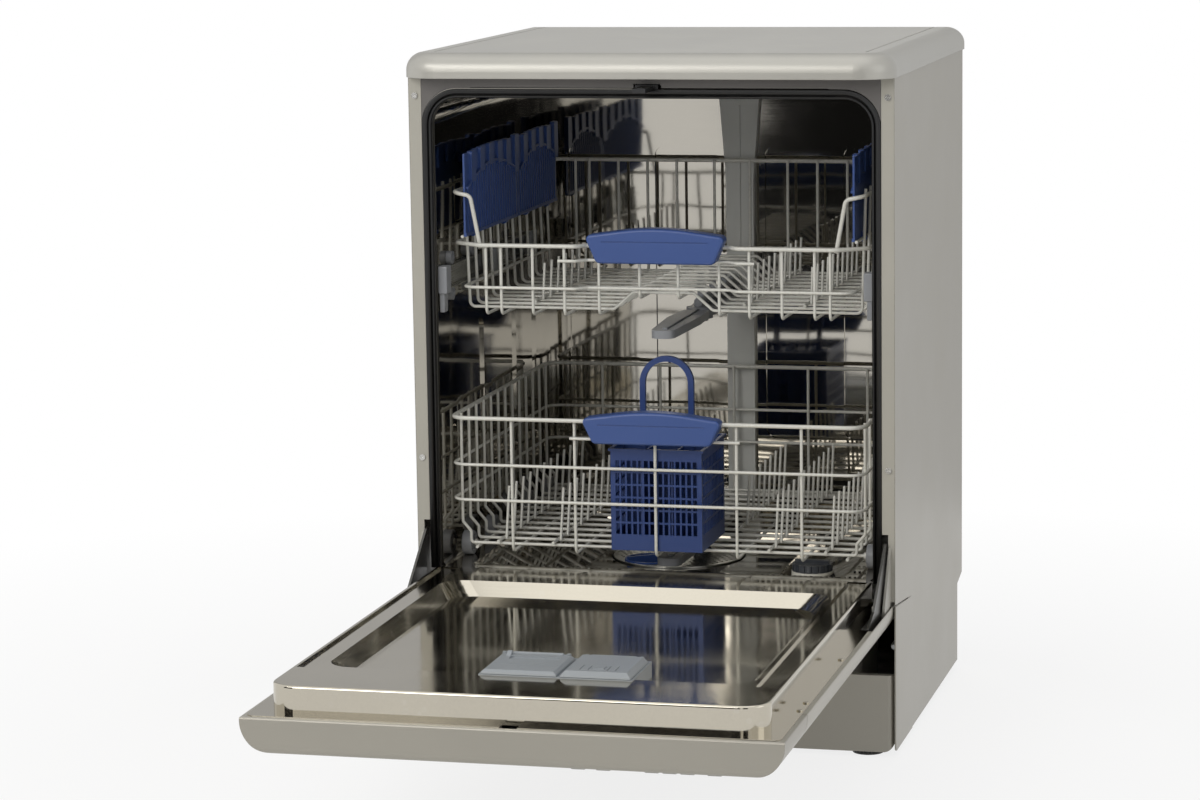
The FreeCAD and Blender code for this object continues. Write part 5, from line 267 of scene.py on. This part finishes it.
dried_drops, start, end = effect("Dried Drops", {"Scale": 70.0, "Amount": 0.4}, {"Mask": VALUE})
place = stretched(dried_drops, EVEN)
cells = add(dried_drops, "ShaderNodeTexVoronoi", {"Vector": place, "Scale": start["Scale"]})
outside = spread(dried_drops, cells.outputs["Distance"], 0.26, 0.22)
inside = spread(dried_drops, cells.outputs["Distance"], 0.12, 0.2, 0.25, 1.0)
where = add(dried_drops, "ShaderNodeTexNoise", {"Vector": place, "Scale": 7.0, "Detail": 2.0})
wet = spread(dried_drops, where.outputs[0], 0.5, 0.62)
ring = maths(dried_drops, "MULTIPLY", maths(dried_drops, "MULTIPLY", outside, inside), wet)
dried_drops.links.new(maths(dried_drops, "MULTIPLY", ring, start["Amount"], True), end["Mask"])
print("dust and drops:", settled_dust.name, dried_drops.name)

# %% [markdown]
# ## A finish built from layers
#
# Every finish on this machine is the same stack with different values: a base colour with a little
# variation, lighter worn edges, dried drops, dust on top, a roughness that follows the grain, and
# bumps for the waves, lines and grain.
# One function builds the stack and leaves out the layers a finish lacks.

# %% Finish function
DROP_COLOUR, DROP_ROUGHNESS = (205, 203, 198), 0.35
DUST_COLOUR, DUST_ROUGHNESS = (198, 194, 186), 0.3


def group(tree, what, **values):
    node = add(tree, "ShaderNodeGroup", node_tree=what)
    for label, value in values.items():
        node.inputs[label.replace("_", " ")].default_value = value
    return node.outputs


def blend_colour(tree, factor, first, second):
    node = add(tree, "ShaderNodeMix", data_type="RGBA")
    for socket, value in zip((node.inputs[0], node.inputs[6], node.inputs[7]),
                             (factor, first, second)):
        if isinstance(value, bpy.types.NodeSocket):
            tree.links.new(value, socket)
        elif isinstance(value, (tuple, list)):
            socket.default_value = (*value[:3], 1.0)
        else:
            socket.default_value = value
    return node.outputs[2]


def linear(red, green, blue):
    """A colour given as it looks on a screen, 0 to 255, as the linear values the shader takes."""
    parts = []
    for part in (red, green, blue):
        part = part / 255.0
        parts.append(part / 12.92 if part <= 0.04045 else ((part + 0.055) / 1.055) ** 2.4)
    return tuple(parts)


def bumped(tree, height, depth, normal):
    """The normal after a bump of so many millimetres on top of the normal so far."""
    bump = add(tree, "ShaderNodeBump", {"Height": height, "Distance": depth * MM, "Strength": 1.0})
    if normal:
        tree.links.new(normal, bump.inputs["Normal"])
    return bump.outputs[0]


def rougher(tree, roughness, mask, amount):
    return maths(tree, "ADD", roughness, maths(tree, "MULTIPLY", mask, amount), True)


def finish(name, colour, rough, metal=0.0, vary=0.05, grain=None, lines=None, waves=None,
           corner=0.0, wear=None, dust=None, drops=None, shader=None):
    """A material. grain = (scale, bump mm, roughness swing), lines = (upright, bump mm, swing),
    waves = (scale, bump mm), corner = radius in mm, wear = (amount, colour), dust and drops =
    amounts."""
    material = bpy.data.materials.new(name)
    material.use_nodes = True
    tree = material.node_tree
    bsdf = tree.nodes["Principled BSDF"]
    base = linear(*colour)
    bsdf.inputs["Metallic"].default_value = metal
    for label, value in (shader or {}).items():
        bsdf.inputs[label].default_value = value
    scale, height, swing = grain or (900.0, 0.0, 0.04)
    speckle = group(tree, surface_grain, Scale=scale)
    darker = tuple(part * (1.0 - vary) for part in base)
    lighter = tuple(min(1.0, part * (1.0 + vary)) for part in base)
    paint = blend_colour(tree, speckle["Tint"], darker, lighter)
    roughness = spread(tree, speckle["Tint"], 0.0, 1.0, rough - swing, rough + swing)
    normal = None
    if corner:
        normal = group(tree, soft_corners, Radius=corner * MM)["Normal"]
    if waves:
        rolled = group(tree, sheet_waves, Scale=waves[0])
        normal = bumped(tree, rolled["Height"], waves[1], normal)
    if lines:
        upright, depth, swing = lines
        drawn = group(tree, drawing_lines, Upright=upright)
        normal = bumped(tree, drawn["Height"], depth, normal)
        streak = spread(tree, drawn["Streak"], 0.0, 1.0, -swing, swing)
        roughness = maths(tree, "ADD", roughness, streak)
    if height:
        normal = bumped(tree, speckle["Height"], height, normal)
    if wear:
        rubbed = group(tree, worn_edges, Amount=wear[0], Radius=max(corner, 0.8) * MM)["Mask"]
        paint = blend_colour(tree, rubbed, paint, linear(*wear[1]))
    if drops:
        marks = group(tree, dried_drops, Amount=drops)["Mask"]
        paint = blend_colour(tree, marks, paint, linear(*DROP_COLOUR))
        roughness = rougher(tree, roughness, marks, DROP_ROUGHNESS)
    if dust:
        film = group(tree, settled_dust, Amount=dust)["Mask"]
        paint = blend_colour(tree, film, paint, linear(*DUST_COLOUR))
        roughness = rougher(tree, roughness, film, DUST_ROUGHNESS)
    tree.links.new(paint, bsdf.inputs["Base Color"])
    tree.links.new(roughness, bsdf.inputs["Roughness"])
    if normal:
        tree.links.new(normal, bsdf.inputs["Normal"])
    return material


def dress(material, slot, *names):
    """Give CAD pieces a material and name the record's slot it belongs to."""
    for name in names:
        piece = nodes[name]
        piece.data.materials.clear()
        piece.data.materials.append(material)
        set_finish(piece, slot)
    print(material.name, "on", ", ".join(names))


# %% [markdown]
# ## Painted sheet
#
# The outside is steel sheet sprayed with a warm silver lacquer: half metallic, satin, with a very
# fine flake. The door's skin and the plinth have the same paint. The uprights beside the opening
# are painted too, a little duller.

# %% Silver paint
def lacquered(name, colour, **extra):
    return finish(name, colour, 0.4, metal=0.45, vary=0.035, grain=(2600.0, 0.006, 0.05),
                  waves=(3.0, 0.25), shader={"Coat Weight": 0.12, "Coat Roughness": 0.3}, **extra)


silver = lacquered("silver_lacquer", (160, 156, 146), corner=1.0,
                   wear=(0.35, (198, 196, 190)), dust=0.12)
dress(silver, "silver_paint", "side_panel_left", "side_panel_right", "control_fascia", "plinth")
top_silver = lacquered("worktop_lacquer", (176, 174, 167), corner=1.5,
                       wear=(0.3, (204, 202, 197)), dust=0.15)
dress(top_silver, "lacquered_board", "worktop")
door_silver = lacquered("door_lacquer", (168, 164, 153), dust=0.08)
dress(door_silver, "silver_paint", "door_outer_panel")
upright_paint = finish("upright_lacquer", (172, 169, 159), 0.42, metal=0.08, vary=0.03,
                       grain=(2400.0, 0.006, 0.05), waves=(4.0, 0.15), corner=0.8,
                       wear=(0.3, (196, 196, 188)))
dress(upright_paint, "upright_paint", "front_upright_left", "front_upright_right")

# %% Steel, galvanised sheet and screws
polished = finish("polished_steel", (178, 174, 165), 0.05, metal=1.0, vary=0.04,
                  grain=(500.0, 0.0, 0.02), lines=(0.0, 0.0012, 0.015), waves=(7.0, 0.8),
                  drops=0.08)
dress(polished, "polished_steel", "tub")
zinc = finish("galvanised_sheet", (168, 170, 170), 0.42, metal=0.85, vary=0.12,
              grain=(60.0, 0.01, 0.1), corner=0.8)
dress(zinc, "galvanised_steel", "rear_panel", "door_springs")
arm_steel = finish("oiled_hinge_steel", (92, 91, 88), 0.36, metal=0.9, vary=0.15,
                   grain=(200.0, 0.01, 0.08), corner=0.6)
dress(arm_steel, "galvanised_steel", "hinge_arms")
bright_steel = finish("bright_zinc_steel", (200, 199, 195), 0.26, metal=1.0, vary=0.04,
                      grain=(900.0, 0.004, 0.06), corner=0.5)
dress(bright_steel, "screw_steel", "cabinet_screws")

# %% [markdown]
# ## The door's liner, the filter and the rails
#
# The inside of the door is pressed from the same stainless sheet as the tub, but it is brushed
# along its width, so it gives wider, softer reflections than the tub wall.
# The filter plate and the slide rails are plainer, drawn steel.

# %% Liner, filter and rails
liner_steel = finish("brushed_liner_steel", (188, 182, 168), 0.1, metal=1.0, vary=0.04,
                     grain=(400.0, 0.0, 0.02), lines=(0.0, 0.0025, 0.03), waves=(8.0, 0.5),
                     drops=0.15)
dress(liner_steel, "polished_steel", "door_liner")
filter_steel = finish("filter_steel", (178, 178, 174), 0.3, metal=1.0, grain=(900.0, 0.004, 0.06),
                      corner=0.4)
dress(filter_steel, "filter_steel", "filter_plate")
rail_steel = finish("rail_steel", (180, 180, 176), 0.24, metal=1.0, lines=(0.0, 0.004, 0.04),
                    corner=0.6)
dress(rail_steel, "rail_steel", "slide_rails")

# %% [markdown]
# ## Plastics
#
# All the moulded parts share one recipe with different colours: fine spark-eroded grain, slightly
# rubbed edges and a satin gloss. Blue marks what a hand touches: the handles, the cup shelves, the
# cutlery basket and the filter cup.

# %% Plastics
def moulded(name, colour, rough=0.42, edge=1.12, soft=True, **extra):
    """A moulded plastic; edge is how much lighter its rubbed corners are."""
    rubbed = tuple(min(255, part * edge) for part in colour)
    if soft:
        extra.update(corner=0.6, wear=(0.4, rubbed))
    return finish(name, colour, rough, vary=0.05, grain=(1400.0, 0.01, 0.05), **extra)


blue = moulded("blue_plastic", (56, 82, 142), 0.34, edge=1.35, dust=0.04)
dress(blue, "blue_plastic", "upper_basket_handle", "lower_basket_handle", "cup_shelves_left",
      "cup_shelves_right", "filter_cup")
# The cutlery basket gets a darker blue than the other blue parts: painted shade, for the shadow the
# basket sits in.
blue_in_shade = moulded("cutlery_blue_in_shade", (38, 62, 118), 0.38, soft=False, dust=0.04)
dress(blue_in_shade, "blue_plastic", "cutlery_basket")
grey = moulded("grey_plastic", (138, 140, 144), 0.4)
dress(grey, "grey_plastic", "basket_rollers", "basket_wheels_1", "basket_wheels_2",
      "basket_wheels_3", "basket_wheels_4", "lower_spray_arm", "upper_spray_arm",
      "spray_feed_pipe", "rail_end_stops", "wall_rollers")
duct_grey = moulded("duct_plastic", (206, 207, 203), 0.38)
dress(duct_grey, "grey_plastic", "water_duct")
dispenser = moulded("dispenser_plastic", (154, 159, 163), 0.36)
dress(dispenser, "dispenser_plastic", "dispenser_body", "detergent_lid", "rinse_aid_cover")
black = moulded("black_plastic", (26, 26, 28), 0.45, edge=1.6, dust=0.15)
dress(black, "black_plastic", "door_catch", "door_latch", "latch_hook", "mains_gland")
tray_black = moulded("tray_plastic", (30, 30, 32), 0.5, soft=False, dust=0.25)
dress(tray_black, "black_plastic", "base_tray")
foot_plastic = moulded("foot_plastic", (38, 37, 35), 0.5, edge=1.4, dust=0.2)
dress(foot_plastic, "foot_plastic", "foot_front_left", "foot_front_right", "feet_rear")
trim_plastic = moulded("trim_plastic", (104, 101, 99), 0.32)
dress(trim_plastic, "trim_grey", "top_trim")
button_plastic = moulded("button_plastic", (166, 164, 158), 0.3, edge=1.1)
dress(button_plastic, "button_plastic", "button_power", "button_half_load", "button_delay",
      "button_extra_dry", "button_options", "button_start")
sump_plastic = moulded("sump_plastic", (74, 78, 84), 0.45)
dress(sump_plastic, "sump_plastic", "sump", "pumps")
softener_plastic = moulded("softener_plastic", (204, 202, 192), 0.5, dust=0.2)
dress(softener_plastic, "softener_plastic", "water_softener", "inlet_valve")
cap_plastic = moulded("salt_cap_plastic", (52, 56, 62), 0.4)
dress(cap_plastic, "salt_cap_plastic", "salt_cap")
board = finish("circuit_board", (38, 84, 52), 0.35, vary=0.15, grain=(300.0, 0.02, 0.08))
dress(board, "board_green", "control_board")

# %% [markdown]
# ## Coated wire
#
# The baskets are welded steel wire dipped in white nylon. The coat is thick, glossy and a little
# uneven, so each wire has one soft highlight along it.

# %% Coated wire
coated_wire = finish("nylon_coated_wire", (212, 211, 203), 0.28, vary=0.03,
                     grain=(260.0, 0.05, 0.06),
                     shader={"Coat Weight": 0.3, "Coat Roughness": 0.15})
dress(coated_wire, "white_coated_wire", "upper_basket", "lower_basket")

# %% [markdown]
# ## The door seal
#
# The seal is one rubber profile that runs up one side of the opening, over the top and down the
# other. A thin flap covers the steel's edge, then comes a groove, and then a wide soft lip that the
# door presses.
# The profile is drawn once as a section and carried along the arch.

# %% Door seal
SEAL_CORNER = 40.0         # radius of the arch's two upper corners, in mm
SEAL_CORNER_STEPS = 12
SEAL_STANDS_PROUD = 0.4    # mm that the section's zero lies behind the plain solid's front
SEAL_SECTION = [           # (mm inward from the outer edge, mm rearward from the zero)
    (0.0, 12.0), (0.0, -0.45), (-4.3, -0.45), (-4.5, -0.7), (-4.2, -0.95), (-0.4, -0.95),
    (0.5, -0.6), (1.2, -0.1), (1.8, 0.8), (2.2, 2.0), (2.4, 3.6), (2.9, 3.6), (3.2, 2.0),
    (3.7, 0.6), (4.4, -0.2), (5.2, -0.3), (6.1, 0.3), (6.7, 1.8), (6.9, 3.8), (6.4, 6.0),
    (5.7, 7.4), (5.4, 9.0), (5.8, 12.0)]
seal_low, seal_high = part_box("tub_gasket")
half = seal_high[0]
front = seal_low[1] + SEAL_STANDS_PROUD * MM
corner = SEAL_CORNER * MM
path = [(-half, seal_low[2], 0.0)]
for step in range(SEAL_CORNER_STEPS + 1):
    turn = step / SEAL_CORNER_STEPS * pi / 2
    path.append((-half + corner * (1.0 - cos(turn)),
                 seal_high[2] - corner * (1.0 - sin(turn)), turn))
path += [(-x, z, pi - turn) for x, z, turn in reversed(path)]
points = [(x + inward * MM * cos(turn), front + depth * MM, z - inward * MM * sin(turn))
          for x, z, turn in path for inward, depth in SEAL_SECTION]
count = len(SEAL_SECTION)
faces = [tuple(range(count)), tuple(reversed(range(len(points) - count, len(points))))]
for row in range(len(path) - 1):
    for index in range(count):
        beside = (index + 1) % count
        faces.append((row * count + index, (row + 1) * count + index,
                      (row + 1) * count + beside, row * count + beside))
seal_mesh = bpy.data.meshes.new("door_seal_profile")
seal_mesh.from_pydata(points, [], faces)
seal_mesh.update()
seal_mesh.shade_smooth()
seal = bpy.data.objects.new("door_seal_profile", seal_mesh)
bpy.context.scene.collection.objects.link(seal)
rubber = finish("seal_rubber", (17, 17, 18), 0.46, vary=0.12, grain=(700.0, 0.03, 0.08), dust=0.1)
seal_mesh.materials.append(rubber)
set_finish(seal, "gasket_rubber")
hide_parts("tub_gasket")
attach(seal, "cabinet")
print("door seal:", len(points), "points")

# %% [markdown]
# ## The studio
#
# A pale floor, a white surround and large soft lamps. The surround is white for the camera and for
# reflections, but weaker as a light, so the lamps shape the object.
# The floor is pale card that fades to the white of the surround away from the machine.

# %% Floor
FLOOR_HALF = 9.0           # metres
FADE_FROM, FADE_TO = 0.7, 1.7    # metres from the middle over which the card turns white
NEAR_WHITE = 0.82          # how white the card already looks beside the machine


def sheet_mesh(name, corners):
    mesh = bpy.data.meshes.new(name)
    mesh.from_pydata([Vector(c) for c in corners], [], [tuple(range(len(corners)))])
    piece = bpy.data.objects.new(name, mesh)
    bpy.context.scene.collection.objects.link(piece)
    return piece


def looked_at_by(tree):
    """1 for what the camera sees, straight, mirrored or through; 0 for light falling on things."""
    ray = add(tree, "ShaderNodeLightPath")
    seen = maths(tree, "MAXIMUM", ray.outputs["Is Camera Ray"], ray.outputs["Is Glossy Ray"])
    return maths(tree, "MAXIMUM", seen, ray.outputs["Is Transmission Ray"])


floor = sheet_mesh("studio_floor", [(-FLOOR_HALF, -FLOOR_HALF, 0), (FLOOR_HALF, -FLOOR_HALF, 0),
                                    (FLOOR_HALF, FLOOR_HALF, 0), (-FLOOR_HALF, FLOOR_HALF, 0)])
floor_card = bpy.data.materials.new("floor_card")
floor_card.use_nodes = True
tree = floor_card.node_tree
card = tree.nodes["Principled BSDF"]
card.inputs["Base Color"].default_value = (0.86, 0.86, 0.85, 1.0)
card.inputs["Roughness"].default_value = 0.75
card.inputs["Specular IOR Level"].default_value = 0.2
glow = add(tree, "ShaderNodeEmission", {"Color": (1.0, 1.0, 1.0, 1.0), "Strength": 1.0})
away = add(tree, "ShaderNodeVectorMath", {0: stretched(tree, (1.0, 1.0, 0.0))},
           operation="LENGTH").outputs["Value"]
share = maths(tree, "MULTIPLY", spread(tree, away, FADE_FROM, FADE_TO, NEAR_WHITE, 1.0),
              looked_at_by(tree))
both = add(tree, "ShaderNodeMixShader", {0: share, 1: card.outputs[0], 2: glow.outputs[0]})
tree.links.new(both.outputs[0], tree.nodes["Material Output"].inputs["Surface"])
floor.data.materials.append(floor_card)

# %% Lamps and surround
def softbox(name, place, target, size, power, tint=(1.0, 1.0, 1.0)):
    data = bpy.data.lights.new(name, "AREA")
    data.shape = "RECTANGLE"
    data.size, data.size_y = size
    data.energy = power
    data.color = tint
    lamp = bpy.data.objects.new(name, data)
    lamp.location = place
    lamp.rotation_mode = "QUATERNION"
    lamp.rotation_quaternion = (Vector(target) - Vector(place)).to_track_quat("-Z", "Y")
    bpy.context.scene.collection.objects.link(lamp)
    return lamp


MIDDLE = (0.0, 0.0, 0.45)
softbox("key_lamp", (-1.7, -3.2, 2.3), MIDDLE, (2.4, 2.0), 72.0, (1.0, 0.985, 0.96))
softbox("overhead_lamp", (0.2, -0.4, 3.3), MIDDLE, (2.6, 2.6), 12.0)
softbox("side_lamp", (3.2, -0.8, 1.7), MIDDLE, (1.8, 1.8), 8.0, (0.97, 0.98, 1.0))
softbox("rear_lamp", (-0.6, 3.4, 2.2), MIDDLE, (2.0, 1.6), 22.0)

# %% [markdown]
# Polished steel shows whatever stands around it. In an all-white room it would look like white
# plastic. Flags stand where only mirror-like surfaces can see them. The dark ones in front give the
# tub and the door's liner their deep bands, and the grey ones behind tone the lacquered panels.

# %% Flags
def flag(name, level, corners):
    """An upright sheet that mirror-like surfaces see as one even grey, 0 black to 1 white."""
    cloth = bpy.data.materials.new(name + "_cloth")
    cloth.use_nodes = True
    tree = cloth.node_tree
    even = add(tree, "ShaderNodeEmission", {"Color": (level, level, level, 1.0), "Strength": 1.0})
    tree.links.new(even.outputs[0], tree.nodes["Material Output"].inputs["Surface"])
    piece = sheet_mesh(name, corners)
    piece.data.materials.append(cloth)
    piece.visible_camera = False
    piece.visible_diffuse = False
    piece.visible_shadow = False
    piece.visible_transmission = False


FLAGS = [                  # name, grey level, left, right, y, top
    ("flag_left", 0.01, -3.4, -1.15, -2.6, 2.3),
    ("flag_middle", 0.01, -0.75, 0.25, -3.1, 1.7),
    ("flag_right", 0.01, 0.6, 1.5, -2.9, 2.0),
    ("flag_rear", 0.5, -2.6, 0.5, 1.7, 2.6),
    ("flag_side", 0.8, 0.5, 1.6, 1.7, 2.6)]
for name, level, x0, x1, y, top in FLAGS:
    flag(name, level, [(x0, y, 0.0), (x1, y, 0.0), (x1, y, top), (x0, y, top)])
print(len(FLAGS), "flags")

# %% Surround
SURROUND_LIGHT = 0.42      # how strong the white surround is as a light
surround = bpy.data.worlds.new("surround")
surround.use_nodes = True
tree = surround.node_tree
tree.nodes.clear()
strength = spread(tree, looked_at_by(tree), 0.0, 1.0, SURROUND_LIGHT, 1.0)
white = add(tree, "ShaderNodeBackground", {"Color": (1.0, 1.0, 1.0, 1.0), "Strength": strength})
add(tree, "ShaderNodeOutputWorld", {"Surface": white.outputs[0]})
bpy.context.scene.world = surround
bpy.context.scene.view_settings.view_transform = "Standard"
print("studio ready")

# %% [markdown]
# ## Finish
#
# The last cell prints the names of any pieces left without a finish.

# %% Finish
bare = [name for name, piece in nodes.items() if not piece.get("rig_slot")]
print("pieces without a finish:", bare or "none")
